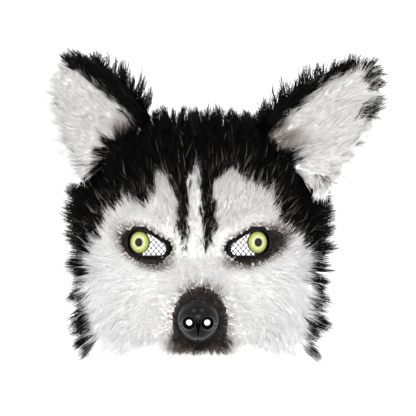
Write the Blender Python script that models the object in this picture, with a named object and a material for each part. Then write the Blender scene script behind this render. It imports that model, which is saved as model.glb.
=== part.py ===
"""Husky half mask: a moulded face form under faux fur, with ears, eyes, nose and an elastic band.

The frame is +Z up, with the face looking along -Y and +X to the viewer's right. The origin is at
the bridge between the wearer's eyes, on the form's inner surface. All sizes are in metres.
"""
import math

import bmesh
import bpy
import numpy as np
from mathutils import Matrix, Vector

# Clearance between pieces that touch
GAP = 0.0003

# The moulded face form
SHELL_WALL = 0.002
FACE_HALF_WIDTH = 0.085
FACE_TOP = 0.092
FACE_BOTTOM = 0.080
FACE_DEPTH = 0.070
SNOUT_LENGTH = 0.046
SNOUT_HALF_WIDTH = 0.052
SNOUT_HALF_HEIGHT = 0.048
SNOUT_DROP = 0.058
BROW_RISE = 0.006
CHEEK_RISE = 0.008
FORM_FULLNESS = 1.12
SWELL_FULLNESS = 1.4

# Depth of the fur's dense pile, and length of its locks
CROWN_PILE = 0.009
FRINGE_PILE = 0.009
FACE_PILE = 0.006
EYE_PILE = 0.003
MUZZLE_PILE = 0.003
CROWN_LOCK = 0.019
FRINGE_LOCK = 0.022
FACE_LOCK = 0.015
MUZZLE_LOCK = 0.009
EAR_LOCK = 0.016

# Where the pile is short: round the eyes and the nose, with a soft edge
PLUSH_INSET = 0.0093
PLUSH_HALF_WIDTH = 0.034
PLUSH_HALF_HEIGHT = 0.026
PLUSH_RADIUS = 0.050
PLUSH_EDGE = 1.6

# The dark patch round the nose
MUZZLE_HALF_WIDTH = 0.0255
MUZZLE_RISE = 0.0265
MUZZLE_FLARE = 0.010

# Shape of a lock. Waist is a share of its length, fullness the waist's width against the root's,
# curl and width shares of its length, height and root depth shares of the pile.
LOCK_WAIST = 0.35
LOCK_FULLNESS = 1.35
LOCK_CURL = 0.10
LOCK_WIDTH = 0.42
LOCK_HEIGHT = 0.62
LOCK_DEPTH = 0.5
HAIR_FALL = 0.15

# Ears
EAR_LENGTH = 0.104
EAR_HALF_WIDTH = 0.039
EAR_ROOT = 0.016
EAR_CUP = 0.017
EAR_SETBACK = 0.044
EAR_WALL = 0.003
EAR_TUFT_BACKWARD = 0.20
EAR_TUFT_FORWARD = 0.22

# Eyes
EYE_OFFSET = 0.0464
EYE_HEIGHT = 0.002
EYE_YAW = math.radians(27)
IRIS_RADIUS = 0.0084
IRIS_THICKNESS = 0.0014
IRIS_TOP = 0.82
EYE_CRESCENT = 0.0021
CORNER_RADIUS = 0.0052
CORNER_REACH = 0.0195
CORNER_DROP = 0.005
SOCKET_WALL = 0.0015
SOCKET_DEPTH = 0.0085
SOCKET_FORWARD = 0.0015
NET_THICKNESS = 0.0008
NET_PITCH = 0.0031
NET_THREAD = 0.0007
NET_MARGIN = 0.0006

# Nose
NOSE_HALF_WIDTH = 0.0163
NOSE_HALF_HEIGHT = 0.0166
NOSE_DEPTH = 0.015
NOSE_DROP = 0.0594
NOSE_INSET = 0.002
NOSE_TAPER = 0.16
NOSE_BROW = 0.10
NOSE_GROOVE = 0.10
NOSE_GROOVE_WIDTH = 0.16
NOSE_GROOVE_TOP = 0.35
NOSE_SEAT_RADIUS = 0.0112
NOSTRIL_OFFSET = 0.007
NOSTRIL_DROP = 0.0022
NOSTRIL_RADIUS = 0.0023
NOSTRIL_RECESS = 0.0034
NOSTRIL_RECESS_DEPTH = 0.008
NOSTRIL_RING = 0.0009
NOSTRIL_FORWARD = 0.84
NOSTRIL_YAW = math.radians(24)

# Elastic band
BAND_WIDTH = 0.010
BAND_THICKNESS = 0.001
BAND_REACH = 0.100
BAND_HEIGHT = 0.026
BAND_CLIMB = 0.014
BAND_TAIL = 0.012

# Length of a cut that goes through a wall and all fur on it, or through the whole mask
WALL_CUT = 0.060
MASK_CUT = 0.300

# Depth of the spaces over a part of the form, behind its surface and before it
SPACE_BEHIND = 0.004
SPACE_BEFORE = 0.045

# Points of the round outlines, and cells of the spaces and the band
IRIS_ARC = 11
CORNER_ARC = 4
NOSE_ARC = 20
MUZZLE_ARC = 12
SPACE_COLUMNS = 8
SPACE_ROWS = 12
BAND_STEPS = 28

# Cells of the grid that the form and the fur share
COLUMNS = 20
ROWS = 14
FRINGE_COLUMNS = 3
FRINGE_ROWS = 7
EAR_COLUMNS = 6
EAR_ROWS = 8
EAR_BAND_COLUMNS = 1

# Sections of the form, bottom to top. Height is a share of FACE_BOTTOM below the eyes and of
# FACE_TOP above, width a share of FACE_HALF_WIDTH, front and rim shares of FACE_DEPTH.
FORM_SECTIONS = (
    # height, width, front, rim
    (-1.00, 0.90, 0.10, 0.88),
    (-0.70, 0.96, 0.00, 0.95),
    (-0.35, 0.99, -0.02, 1.00),
    (0.00, 1.00, 0.00, 1.00),
    (0.35, 0.99, -0.01, 1.00),
    (0.60, 0.94, 0.06, 0.98),
    (0.80, 0.84, 0.17, 0.95),
    (0.93, 0.72, 0.29, 0.92),
    (1.00, 0.61, 0.38, 0.90),
)

# Round swellings of each side of the form. Across and half width are shares of
# FACE_HALF_WIDTH, height and half height of FACE_TOP above the eyes and FACE_BOTTOM below.
SWELLS = (
    # rise, across, height, half width, half height
    (BROW_RISE, 0.46, 0.34, 0.40, 0.30),
    (CHEEK_RISE, 0.60, -0.55, 0.42, 0.50),
)

# Outline of one ear. Along is a share of EAR_LENGTH, half width a share of EAR_HALF_WIDTH.
EAR_SECTIONS = (
    # along, half width
    (0.00, 1.00),
    (0.20, 0.97),
    (0.40, 0.88),
    (0.60, 0.75),
    (0.75, 0.60),
    (0.88, 0.38),
    (1.00, 0.04),
)

# How each ear stands. Across is a share of FACE_HALF_WIDTH and height of FACE_TOP.
EAR_POSES = (
    # name, side, across, height, roll, lean, turn
    ("left", -1, 0.73, 0.84, math.radians(34), math.radians(29), math.radians(14)),
    ("right", 1, 0.88, 0.77, math.radians(44), math.radians(8), math.radians(4)),
)

# Upper edge of the white fur on one side, from the temple to the middle of the forehead.
# Across is a share of FACE_HALF_WIDTH and height of FACE_TOP.
BROW_LINE = (
    # across, height
    (1.60, 0.00),
    (0.96, 0.00),
    (0.83, 0.33),
    (0.69, 0.42),
    (0.55, 0.41),
    (0.485, 0.36),
    (0.41, 0.56),
    (0.33, 0.63),
    (0.25, 0.56),
    (0.19, 0.38),
    (0.10, -0.03),
    (0.075, 0.22),
    (0.07, 0.60),
    (0.00, 0.66),
)

# Rows of locks. Across is a share of the way from the middle to the rim, height as in the
# sections, length and width are shares of the coat's lock, and lift is the tilt off the skin.
LOCK_ROWS = (
    # coat, from across, to across, height, count, length, lift
    ("crown", -0.84, 0.84, 0.97, 11, 1.00, 48),
    ("crown", -0.66, 0.66, 0.84, 8, 1.00, 24),
    ("crown", -0.30, 0.30, 0.72, 4, 0.90, 20),
    ("crown", 0.66, 0.84, 0.42, 2, 0.80, 24),
    ("crown", -0.84, -0.66, 0.42, 2, 0.80, 24),
    ("face", 0.20, 0.44, 0.38, 3, 0.70, 16),
    ("face", -0.44, -0.20, 0.38, 3, 0.70, 16),
    ("face", 0.56, 0.66, 0.10, 2, 0.80, 18),
    ("face", -0.66, -0.56, 0.10, 2, 0.80, 18),
    ("face", 0.42, 0.62, -0.36, 3, 0.90, 18),
    ("face", -0.62, -0.42, -0.36, 3, 0.90, 18),
    ("face", 0.36, 0.62, -0.68, 3, 1.00, 20),
    ("face", -0.62, -0.36, -0.68, 3, 1.00, 20),
    ("face", 0.28, 0.66, -0.94, 6, 0.90, 22),
    ("face", -0.66, -0.28, -0.94, 6, 0.90, 22),
)

# Tufts down each side fringe
FRINGE_TUFTS = (
    # across, from height, to height, count, length, lift
    (0.90, -0.88, -0.10, 5, 0.80, 52),
    (0.97, -0.95, -0.08, 7, 1.00, 46),
)

# Rings of locks round the nose. Reach is a share of the nose's half width.
MUZZLE_RINGS = (
    # reach, count, length, lift
    (1.26, 12, 1.00, 16),
)

# Each lock's length, against its row's
LOCK_CYCLE = (1.0, 0.76, 1.14, 0.88, 1.06)

# Edge tufts of the ears. Across runs from -1 at the edge by the crown to 1 at the outer edge.
EAR_TUFTS = (
    # piece, across, along, spread, length
    ("back", -0.86, 0.40, -0.75, 0.85),
    ("back", -0.84, 0.56, -0.70, 1.00),
    ("back", -0.80, 0.72, -0.60, 0.90),
    ("back", -0.62, 0.86, -0.35, 0.80),
    ("back", 0.10, 0.93, 0.10, 0.62),
    ("back", 0.84, 0.78, 0.80, 0.80),
    ("back", 0.88, 0.60, 1.00, 0.85),
    ("back", 0.90, 0.42, 1.10, 0.80),
    ("inner", 0.70, 0.70, 0.55, 0.70),
    ("inner", 0.74, 0.50, 0.75, 0.85),
    ("inner", 0.76, 0.32, 0.90, 0.85),
    ("inner", 0.20, 0.62, 0.10, 0.90),
    ("inner", 0.30, 0.36, 0.30, 0.90),
)

PAINTS = {
    # slot: (colour, roughness)
    "black_plastic": ((0.012, 0.012, 0.014), 0.35),
    "black_fur": ((0.010, 0.010, 0.011), 0.90),
    "white_fur": ((0.80, 0.79, 0.77), 0.90),
    "muzzle_fur": ((0.11, 0.10, 0.09), 0.90),
    "iris_print": ((0.60, 0.66, 0.22), 0.25),
    "net_black": ((0.010, 0.010, 0.010), 0.50),
    "nose_black": ((0.014, 0.015, 0.018), 0.22),
    "elastic_black": ((0.015, 0.015, 0.016), 0.75),
}

SIDES = (("left", -1), ("right", 1))


def clear_scene():
    """Remove what the scene starts with."""
    for ob in list(bpy.data.objects):
        bpy.data.objects.remove(ob, do_unlink=True)


def new_collection(name):
    made = bpy.data.collections.new(name)
    bpy.context.scene.collection.children.link(made)
    return made


def paint(slot):
    """The Principled material of one slot, made once."""
    mat = bpy.data.materials.get(slot)
    if mat is None:
        colour, roughness = PAINTS[slot]
        mat = bpy.data.materials.new(slot)
        mat.use_nodes = True
        shader = mat.node_tree.nodes["Principled BSDF"]
        shader.inputs["Base Color"].default_value = (*colour, 1.0)
        shader.inputs["Roughness"].default_value = roughness
        shader.inputs["Metallic"].default_value = 0.0
    return mat


def object_from(bm, name, collection):
    """Turn a bmesh into an object with its faces outward."""
    bmesh.ops.recalc_face_normals(bm, faces=bm.faces)
    if bm.calc_volume(signed=True) < 0:
        bmesh.ops.reverse_faces(bm, faces=bm.faces)
    mesh = bpy.data.meshes.new(name)
    bm.to_mesh(mesh)
    bm.free()
    ob = bpy.data.objects.new(name, mesh)
    collection.objects.link(ob)
    return ob


def as_cutter(ob):
    ob.hide_render = True
    ob.display_type = "WIRE"
    return ob


def through(rows, column, at):
    """A smooth curve through one column of a table, read at a value of its first column."""
    places = np.array([row[0] for row in rows])
    values = np.array([row[column] for row in rows])
    at = float(np.clip(at, places[0], places[-1]))
    slopes = np.gradient(values, places)
    i = int(np.clip(np.searchsorted(places, at) - 1, 0, len(places) - 2))
    step = places[i + 1] - places[i]
    t = (at - places[i]) / step
    start, end = values[i], values[i + 1]
    rise = t * t * (3 - 2 * t)
    ease_out = t * (1 - t) ** 2 * slopes[i] * step
    ease_in = t * t * (t - 1) * slopes[i + 1] * step
    return start + (end - start) * rise + ease_out + ease_in


def swell(x, z, centre_x, centre_z, half_width, half_height):
    """A round swelling, 1 at its middle and 0 from its edge on."""
    reach = math.hypot((x - centre_x) / half_width, (z - centre_z) / half_height)
    return math.cos(min(reach, 1.0) * math.pi / 2) ** SWELL_FULLNESS


def height_of(share):
    """A height share of the form, as Z."""
    return share * (FACE_TOP if share > 0 else FACE_BOTTOM)


def face_form(across, share):
    """A point of the form's outer surface. Across is -1 at the left rim and 1 at the right."""
    turn = math.copysign(abs(across) ** FORM_FULLNESS, across) * math.pi / 2
    z = height_of(share)
    front = through(FORM_SECTIONS, 2, share) * FACE_DEPTH
    rim = through(FORM_SECTIONS, 3, share) * FACE_DEPTH
    x = through(FORM_SECTIONS, 1, share) * FACE_HALF_WIDTH * math.sin(turn)
    y = front + (rim - front) * (1 - math.cos(turn)) - SHELL_WALL
    y -= SNOUT_LENGTH * swell(x, z, 0, -SNOUT_DROP, SNOUT_HALF_WIDTH, SNOUT_HALF_HEIGHT)
    for rise, middle, height, half_width, half_height in SWELLS:
        level = FACE_TOP if height > 0 else FACE_BOTTOM
        for side in (-1, 1):
            y -= rise * swell(
                x,
                z,
                side * middle * FACE_HALF_WIDTH,
                height * level,
                half_width * FACE_HALF_WIDTH,
                half_height * level,
            )
    return Vector((x, y, z))


def surface_normal(surface, u, v, low, high, sense=1):
    """The outward normal of a surface, from points a little apart inside its range."""
    step = 0.002
    here = [surface(min(max(u + d, low[0]), high[0]), v) for d in (-step, step)]
    there = [surface(u, min(max(v + d, low[1]), high[1])) for d in (-step, step)]
    return (here[1] - here[0]).cross(there[1] - there[0]).normalized() * sense


def face_normal(across, share):
    return surface_normal(face_form, across, share, (-1, -1), (1, 1))


def slab(name, collection, columns, rows, place):
    """A closed slab, one cell deep, of a flat grid of cells bent by place(column, row, layer)."""
    bm = bmesh.new()
    bmesh.ops.create_grid(bm, x_segments=columns, y_segments=rows, size=1)
    bmesh.ops.triangulate(bm, faces=bm.faces[:], quad_method="FIXED")
    raised = bmesh.ops.extrude_face_region(bm, geom=bm.faces[:], use_keep_orig=True)
    upper = {v for v in raised["geom"] if isinstance(v, bmesh.types.BMVert)}
    for vert in bm.verts:
        column = (vert.co.x + 1) / 2 * columns
        row = (vert.co.y + 1) / 2 * rows
        vert.co = place(column, row, int(vert in upper))
    return object_from(bm, name, collection)


def form_slab(name, collection, columns, rows, inner, outer):
    """A slab over some cells of the form, between two heights over its outer surface."""

    def place(column, row, layer):
        across = (columns[0] + column) / COLUMNS * 2 - 1
        share = (rows[0] + row) / ROWS * 2 - 1
        height = (inner, outer)[layer]
        point = face_form(across, share)
        if callable(height):
            height = height(point)
        return point + face_normal(across, share) * height

    return slab(name, collection, columns[1] - columns[0], rows[1] - rows[0], place)


def form_core(collection):
    """The space inside the form and its wall, with the clearance, which pieces on it are cut to."""
    centre = Vector((0, FACE_DEPTH, 0))

    def place(column, row, layer):
        across = column / COLUMNS * 2 - 1
        share = row / ROWS * 2 - 1
        point = face_form(across, share)
        if layer == 1:
            return point + face_normal(across, share) * GAP
        return centre.lerp(point, 0.3)

    return as_cutter(slab("form_core", collection, COLUMNS, ROWS, place))


def flat_solid(name, collection, outline, thickness, frame):
    """A flat outline, thickened evenly about its plane and placed by a frame."""
    curve = bpy.data.curves.new(name, "CURVE")
    curve.dimensions = "2D"
    curve.fill_mode = "BOTH"
    curve.extrude = thickness / 2
    spline = curve.splines.new("POLY")
    spline.points.add(len(outline) - 1)
    for point, (x, y) in zip(spline.points, outline):
        point.co = (x, y, 0, 1)
    spline.use_cyclic_u = True
    source = bpy.data.objects.new(name + "_outline", curve)
    collection.objects.link(source)
    bpy.context.view_layer.update()
    evaluated = source.evaluated_get(bpy.context.evaluated_depsgraph_get())
    mesh = bpy.data.meshes.new_from_object(evaluated)
    bpy.data.objects.remove(source)
    bpy.data.curves.remove(curve)
    bm = bmesh.new()
    bm.from_mesh(mesh)
    bpy.data.meshes.remove(mesh)
    bmesh.ops.remove_doubles(bm, verts=bm.verts, dist=1e-6)
    bm.transform(frame)
    return object_from(bm, name, collection)


def combine(ob, operation, other, own=False):
    """Apply one exact Boolean to an object."""
    boolean = ob.modifiers.new(operation.lower(), "BOOLEAN")
    boolean.operation = operation
    boolean.solver = "EXACT"
    boolean.use_self = own
    boolean.object = other
    bpy.context.view_layer.update()
    evaluated = ob.evaluated_get(bpy.context.evaluated_depsgraph_get())
    mesh = bpy.data.meshes.new_from_object(evaluated)
    ob.modifiers.clear()
    old = ob.data
    ob.data = mesh
    bpy.data.meshes.remove(old)
    as_cutter(other)
    return ob


def keep_main_body(ob):
    """Drop the tips of locks that a cut has parted from their coat."""
    bm = bmesh.new()
    bm.from_mesh(ob.data)
    bmesh.ops.remove_doubles(bm, verts=bm.verts, dist=1e-7)
    left = set(bm.verts)
    bodies = []
    while left:
        stack = [left.pop()]
        body = set(stack)
        while stack:
            for edge in stack.pop().link_edges:
                for vert in edge.verts:
                    if vert in left:
                        left.discard(vert)
                        body.add(vert)
                        stack.append(vert)
        bodies.append(body)
    bodies.sort(key=len)
    for body in bodies[:-1]:
        bmesh.ops.delete(bm, geom=list(body), context="VERTS")
    bm.to_mesh(ob.data)
    bm.free()
    return ob


def finish(ob, slot, parts, parent):
    """Name the mesh, give it its material and smooth shading, and hang it on the object."""
    ob.data.name = ob.name
    ob.data.materials.clear()
    ob.data.materials.append(paint(slot))
    ob.data.shade_smooth()
    ob.data.set_sharp_from_angle(angle=math.radians(35))
    ob.parent = parent
    if ob.name not in parts.objects:
        parts.objects.link(ob)
    return ob


def add_lock(bm, root, along, normal, length, width, height):
    """One tapered lock: a three sided cone, fuller at a third of its length, with a lifted tip."""
    across = along.cross(normal).normalized()
    up = across.cross(along).normalized()
    made = bmesh.ops.create_cone(
        bm, cap_ends=True, segments=3, radius1=0.5, radius2=0, depth=1
    )
    verts = made["verts"]
    edges = {e for v in verts for e in v.link_edges}
    faces = {f for v in verts for f in v.link_faces}
    cut = bmesh.ops.bisect_plane(
        bm,
        geom=verts + list(edges) + list(faces),
        plane_co=(0, 0, LOCK_WAIST - 0.5),
        plane_no=(0, 0, 1),
    )
    middle = [g for g in cut["geom_cut"] if isinstance(g, bmesh.types.BMVert)]
    for vert in set(verts) | set(middle):
        share = vert.co.z + 0.5
        full = 1.0 if vert not in middle else LOCK_FULLNESS
        curl = LOCK_CURL * length * share * share
        vert.co = (
            root
            + along * (share * length)
            + across * (vert.co.x * full * width)
            + up * (vert.co.y * full * height + curl)
        )


def locks_object(name, collection, locks):
    """All locks of a coat as one operand."""
    bm = bmesh.new()
    for lock in locks:
        add_lock(bm, *lock)
    return object_from(bm, name, collection)


def hair_flow(point, normal):
    """Which way the hair lies on the face: away from the nose, with a slight fall."""
    away = point - Vector((0, point.y, -SNOUT_DROP))
    away.normalize()
    away.z -= HAIR_FALL
    along = away - normal * away.dot(normal)
    return along.normalized()


def lifted(along, normal, lift):
    angle = math.radians(lift)
    return (along * math.cos(angle) + normal * math.sin(angle)).normalized()


def row_of_locks(coat, length, pile):
    """The locks of one coat of the face, from the table of rows."""
    locks = []
    for name, start, end, share, count, part, lift in LOCK_ROWS:
        if name != coat:
            continue
        for i in range(count):
            across = start + (end - start) * i / (count - 1)
            locks.append(face_lock(across, share, part * length, pile, lift, i))
    return locks


def face_lock(across, share, length, pile, lift, number):
    """One lock rooted in the middle of the pile."""
    point = face_form(across, share)
    normal = face_normal(across, share)
    root = point + normal * (GAP + LOCK_DEPTH * pile)
    along = lifted(hair_flow(point, normal), normal, lift)
    reach = length * LOCK_CYCLE[number % len(LOCK_CYCLE)]
    return root, along, normal, reach, LOCK_WIDTH * length, LOCK_HEIGHT * pile


def eye_centre(side):
    """The point of the form under one iris."""
    share = EYE_HEIGHT / FACE_TOP
    low, high = 0.0, 1.0
    for _ in range(30):
        middle = (low + high) / 2
        if face_form(middle, share).x < EYE_OFFSET:
            low = middle
        else:
            high = middle
    point = face_form(low, share)
    return Vector((side * point.x, point.y, point.z))


def eye_frame(side, height):
    """A frame in the eye's plane: X across, Y up and Z out of the face, at a height over it."""
    out = Vector((side * math.sin(EYE_YAW), -math.cos(EYE_YAW), 0))
    across = Vector((math.cos(EYE_YAW), side * math.sin(EYE_YAW), 0))
    frame = Matrix((across, Vector((0, 0, 1)), out)).transposed().to_4x4()
    frame.translation = eye_centre(side) + out * height
    return frame


def drop_outline(side, growth):
    """The eye's outline: a large arc round the iris and a small one at the inner corner."""
    large = IRIS_RADIUS + EYE_CRESCENT + growth
    small = CORNER_RADIUS + growth
    corner = Vector((CORNER_REACH, -CORNER_DROP))
    bearing = math.atan2(corner.y, corner.x)
    spread = math.acos((large - small) / corner.length)
    points = []
    for i in range(IRIS_ARC + 1):
        angle = bearing + spread + (2 * math.pi - 2 * spread) * i / IRIS_ARC
        points.append((large * math.cos(angle), large * math.sin(angle)))
    for i in range(CORNER_ARC + 1):
        angle = bearing - spread + 2 * spread * i / CORNER_ARC
        x = corner.x + small * math.cos(angle)
        points.append((x, corner.y + small * math.sin(angle)))
    return [(-side * x, y) for x, y in points]


def eye_hole(side, name, cutters, growth, depth):
    return flat_solid(name, cutters, drop_outline(side, growth), depth, eye_frame(side, 0))


def make_shell(parts, cutters):
    shell = form_slab("mask_shell", parts, (0, COLUMNS), (0, ROWS), -SHELL_WALL, 0)
    for name, side in SIDES:
        hole = eye_hole(side, f"shell_eye_{name}", cutters, SOCKET_WALL + GAP, WALL_CUT)
        combine(shell, "DIFFERENCE", hole)
    place = Matrix.Translation((0, -SNOUT_LENGTH, -NOSE_DROP))
    seat = bmesh.new()
    bmesh.ops.create_cone(
        seat,
        cap_ends=True,
        segments=NOSE_ARC,
        radius1=NOSE_SEAT_RADIUS,
        radius2=NOSE_SEAT_RADIUS,
        depth=WALL_CUT,
        matrix=place @ Matrix.Rotation(math.pi / 2, 4, "X"),
    )
    combine(shell, "DIFFERENCE", object_from(seat, "nose_seat", cutters))
    return keep_main_body(shell)


def face_pile(point):
    """The white fur's pile, shorter round the eyes and towards the muzzle."""
    patch = EYE_OFFSET - PLUSH_INSET
    near_eye = swell(abs(point.x), point.z, patch, 0, PLUSH_HALF_WIDTH, PLUSH_HALF_HEIGHT)
    near_nose = swell(point.x, point.z, 0, -SNOUT_DROP, PLUSH_RADIUS, PLUSH_RADIUS)
    deep = FACE_PILE - (FACE_PILE - EYE_PILE) * min(1.0, PLUSH_EDGE * near_eye)
    return deep - (deep - MUZZLE_PILE) * min(1.0, PLUSH_EDGE * near_nose)


def brow_prism(name, cutters, growth):
    """All of the front view under the brow line, grown upward, as a prism along Y."""
    line = []
    for across, height in BROW_LINE:
        line.append((across * FACE_HALF_WIDTH, height_of(height) + growth))
    other = [(-x, z) for x, z in reversed(line[:-1])]
    floor = -2 * FACE_BOTTOM
    reach = BROW_LINE[0][0] * FACE_HALF_WIDTH
    outline = line + other + [(-reach, floor), (reach, floor)]
    frame = Matrix.Rotation(math.pi / 2, 4, "X")
    return flat_solid(name, cutters, outline, MASK_CUT, frame)


def fringe_block(side, name, cutters, growth):
    """The space over one side fringe's cells."""
    cell = math.pi / 2 * FACE_HALF_WIDTH / (COLUMNS / 2)
    edge = growth / cell
    past_rim = 2
    columns = (COLUMNS - FRINGE_COLUMNS - edge, COLUMNS + past_rim)
    if side < 0:
        columns = (-past_rim, FRINGE_COLUMNS + edge)
    return form_space(name, cutters, columns, (-past_rim, FRINGE_ROWS + 0.2))


def form_space(name, cutters, columns, rows):
    """A thick block over a part of the form, which may reach past its rim."""

    def place(column, row, layer):
        i = columns[0] + column / SPACE_COLUMNS * (columns[1] - columns[0])
        j = rows[0] + row / SPACE_ROWS * (rows[1] - rows[0])
        across = i / COLUMNS * 2 - 1
        share = j / ROWS * 2 - 1
        inside = (min(max(across, -1), 1), min(max(share, -1), 1))
        point = face_form(*inside)
        point.y += abs(across - inside[0]) * FACE_DEPTH
        point.z += (share - inside[1]) * FACE_BOTTOM
        return point + face_normal(*inside) * (-SPACE_BEHIND, SPACE_BEFORE)[layer]

    return slab(name, cutters, SPACE_COLUMNS, SPACE_ROWS, place)


def nose_taper(z):
    """The nose's width at a height, as a share of its full width."""
    return 1 - NOSE_TAPER * max(0.0, -z) ** 1.5


def make_nose(parts, cutters, core):
    """The moulded nose: broad above, narrower below, with a groove and two nostrils."""
    bm = bmesh.new()
    bmesh.ops.create_uvsphere(bm, u_segments=16, v_segments=10, radius=1)
    tip = face_form(0, -NOSE_DROP / FACE_BOTTOM)
    for vert in bm.verts:
        x, y, z = vert.co
        brow = 1 + NOSE_BROW * max(0.0, z)
        valley = math.exp(-((x / NOSE_GROOVE_WIDTH) ** 2))
        groove = NOSE_GROOVE * valley * max(0.0, NOSE_GROOVE_TOP - z)
        depth = (y * brow + (groove if y < 0 else 0)) * NOSE_DEPTH
        wide = x * nose_taper(z) * NOSE_HALF_WIDTH
        vert.co = (wide, tip.y + NOSE_INSET + depth, z * NOSE_HALF_HEIGHT - NOSE_DROP)
    nose = object_from(bm, "nose", parts)
    turn = Matrix.Rotation(math.pi / 2, 4, "X")
    for name, side in SIDES:
        centre = Vector((side * NOSTRIL_OFFSET, tip.y, -NOSE_DROP - NOSTRIL_DROP))
        front = centre + Vector((0, -NOSTRIL_FORWARD * NOSE_DEPTH, 0))
        out = Matrix.Translation(front) @ Matrix.Rotation(side * NOSTRIL_YAW, 4, "Z") @ turn
        bpy.ops.mesh.primitive_torus_add(
            major_segments=12,
            minor_segments=5,
            major_radius=NOSTRIL_RECESS + NOSTRIL_RING,
            minor_radius=NOSTRIL_RING,
        )
        ring = bpy.context.object
        ring.name = f"nostril_ring_{name}"
        ring.data.transform(out)
        for home in list(ring.users_collection):
            home.objects.unlink(ring)
        cutters.objects.link(ring)
        combine(nose, "UNION", ring)
        recess = bmesh.new()
        bmesh.ops.create_cone(
            recess,
            cap_ends=True,
            segments=14,
            radius1=NOSTRIL_RADIUS,
            radius2=NOSTRIL_RECESS,
            depth=NOSTRIL_RECESS_DEPTH,
            matrix=out,
        )
        combine(nose, "DIFFERENCE", object_from(recess, f"nostril_recess_{name}", cutters))
        hole = bmesh.new()
        bmesh.ops.create_cone(
            hole,
            cap_ends=True,
            segments=14,
            radius1=NOSTRIL_RADIUS,
            radius2=NOSTRIL_RADIUS,
            depth=MASK_CUT,
            matrix=Matrix.Translation(centre) @ turn,
        )
        combine(nose, "DIFFERENCE", object_from(hole, f"nostril_{name}", cutters))
    combine(nose, "DIFFERENCE", core)
    return keep_main_body(nose)


def nose_space(cutters):
    """The nose's outline with its clearance, as a prism along Y."""
    outline = []
    wide = (NOSE_HALF_WIDTH + 2 * GAP) / math.cos(math.pi / NOSE_ARC)
    high = (NOSE_HALF_HEIGHT + 2 * GAP) / math.cos(math.pi / NOSE_ARC)
    for i in range(NOSE_ARC):
        angle = 2 * math.pi * i / NOSE_ARC
        x = math.cos(angle)
        z = math.sin(angle)
        outline.append((x * nose_taper(z) * wide, z * high - NOSE_DROP))
    frame = Matrix.Rotation(math.pi / 2, 4, "X")
    return flat_solid("nose_space", cutters, outline, MASK_CUT, frame)


def muzzle_outline(name, cutters, growth):
    """The short pile's outline in the front view: round above, straight down below."""
    outline = []
    wide = MUZZLE_HALF_WIDTH + growth
    rise = MUZZLE_RISE + growth
    for i in range(MUZZLE_ARC + 1):
        angle = math.pi * i / MUZZLE_ARC
        outline.append((wide * math.cos(angle), rise * math.sin(angle) - NOSE_DROP))
    outline.append((-wide - MUZZLE_FLARE, -2 * FACE_BOTTOM))
    outline.append((wide + MUZZLE_FLARE, -2 * FACE_BOTTOM))
    return flat_solid(name, cutters, outline, MASK_CUT, Matrix.Rotation(math.pi / 2, 4, "X"))


def ear_form(side, across, along):
    """A point of an ear's middle surface in the ear's own frame, its edges bent to the front."""
    half = EAR_HALF_WIDTH * through(EAR_SECTIONS, 1, along)
    back = -EAR_CUP * (across * half / EAR_HALF_WIDTH) ** 2
    return Vector((side * half * across, back, along * EAR_LENGTH))


def ear_frame(pose):
    name, side, across, height, roll, lean, turn = pose
    base = Vector((side * across * FACE_HALF_WIDTH, EAR_SETBACK, height * FACE_TOP))
    return (
        Matrix.Translation(base)
        @ Matrix.Rotation(side * roll, 4, "Y")
        @ Matrix.Rotation(-lean, 4, "X")
        @ Matrix.Rotation(side * turn, 4, "Z")
    )


def ear_slab(name, collection, pose, columns, rows, inner, outer, spread=1.0):
    """A slab over some cells of one ear, between two heights in front of its back surface."""
    side = pose[1]
    frame = ear_frame(pose)
    root = -EAR_ROOT / EAR_LENGTH

    def place(column, row, layer):
        u = ((columns[0] + column) / EAR_COLUMNS * 2 - 1) * spread
        v = root + (1 - root) * (rows[0] + row) / EAR_ROWS
        point = ear_form(side, u, v)
        return frame @ (point + ear_normal(side, u, v) * (inner, outer)[layer])

    return slab(name, collection, columns[1] - columns[0], rows[1] - rows[0], place)


def ear_normal(side, across, along):
    def surface(u, v):
        return ear_form(side, u, v)

    return surface_normal(surface, across, along, (-1.2, -0.3), (1.2, 1.0), side)


def ear_locks(name, cutters, pose, piece, height):
    side = pose[1]
    frame = ear_frame(pose)
    turned = frame.to_3x3()
    locks = []
    for wanted, across, along, spread, part in EAR_TUFTS:
        if wanted != piece:
            continue
        point = ear_form(side, across, along)
        normal = ear_normal(side, across, along)
        ahead = Vector((side * math.sin(spread), 0, math.cos(spread)))
        ahead = (ahead - normal * ahead.dot(normal)).normalized()
        lean_out = -EAR_TUFT_BACKWARD if piece == "back" else EAR_TUFT_FORWARD
        ahead = turned @ (ahead + normal * lean_out).normalized()
        root = frame @ (point + normal * height)
        size = (EAR_LOCK * part, LOCK_WIDTH * EAR_LOCK, LOCK_HEIGHT * EAR_WALL)
        locks.append((root, ahead, turned @ normal, *size))
    return locks_object(name, cutters, locks)


def make_ear(pose, parts, cutters, core):
    """One ear: its black back, and the white face in front of it."""
    name = pose[0]
    cells = (0, EAR_COLUMNS)
    back = ear_slab(f"ear_{name}", parts, pose, cells, (0, EAR_ROWS), 0, EAR_WALL)
    tufts = ear_locks(f"ear_tufts_{name}", cutters, pose, "back", EAR_WALL / 2)
    combine(back, "UNION", tufts, True)
    combine(back, "DIFFERENCE", core)
    front = EAR_WALL + GAP
    cells = (EAR_BAND_COLUMNS, EAR_COLUMNS)
    inner = ear_slab(
        f"ear_inner_{name}", parts, pose, cells, (0, EAR_ROWS - 1), front, front + EAR_WALL
    )
    tufts = ear_locks(f"ear_wisps_{name}", cutters, pose, "inner", front + EAR_WALL / 2)
    combine(inner, "UNION", tufts, True)
    combine(inner, "DIFFERENCE", core)
    return keep_main_body(back), keep_main_body(inner)


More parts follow.
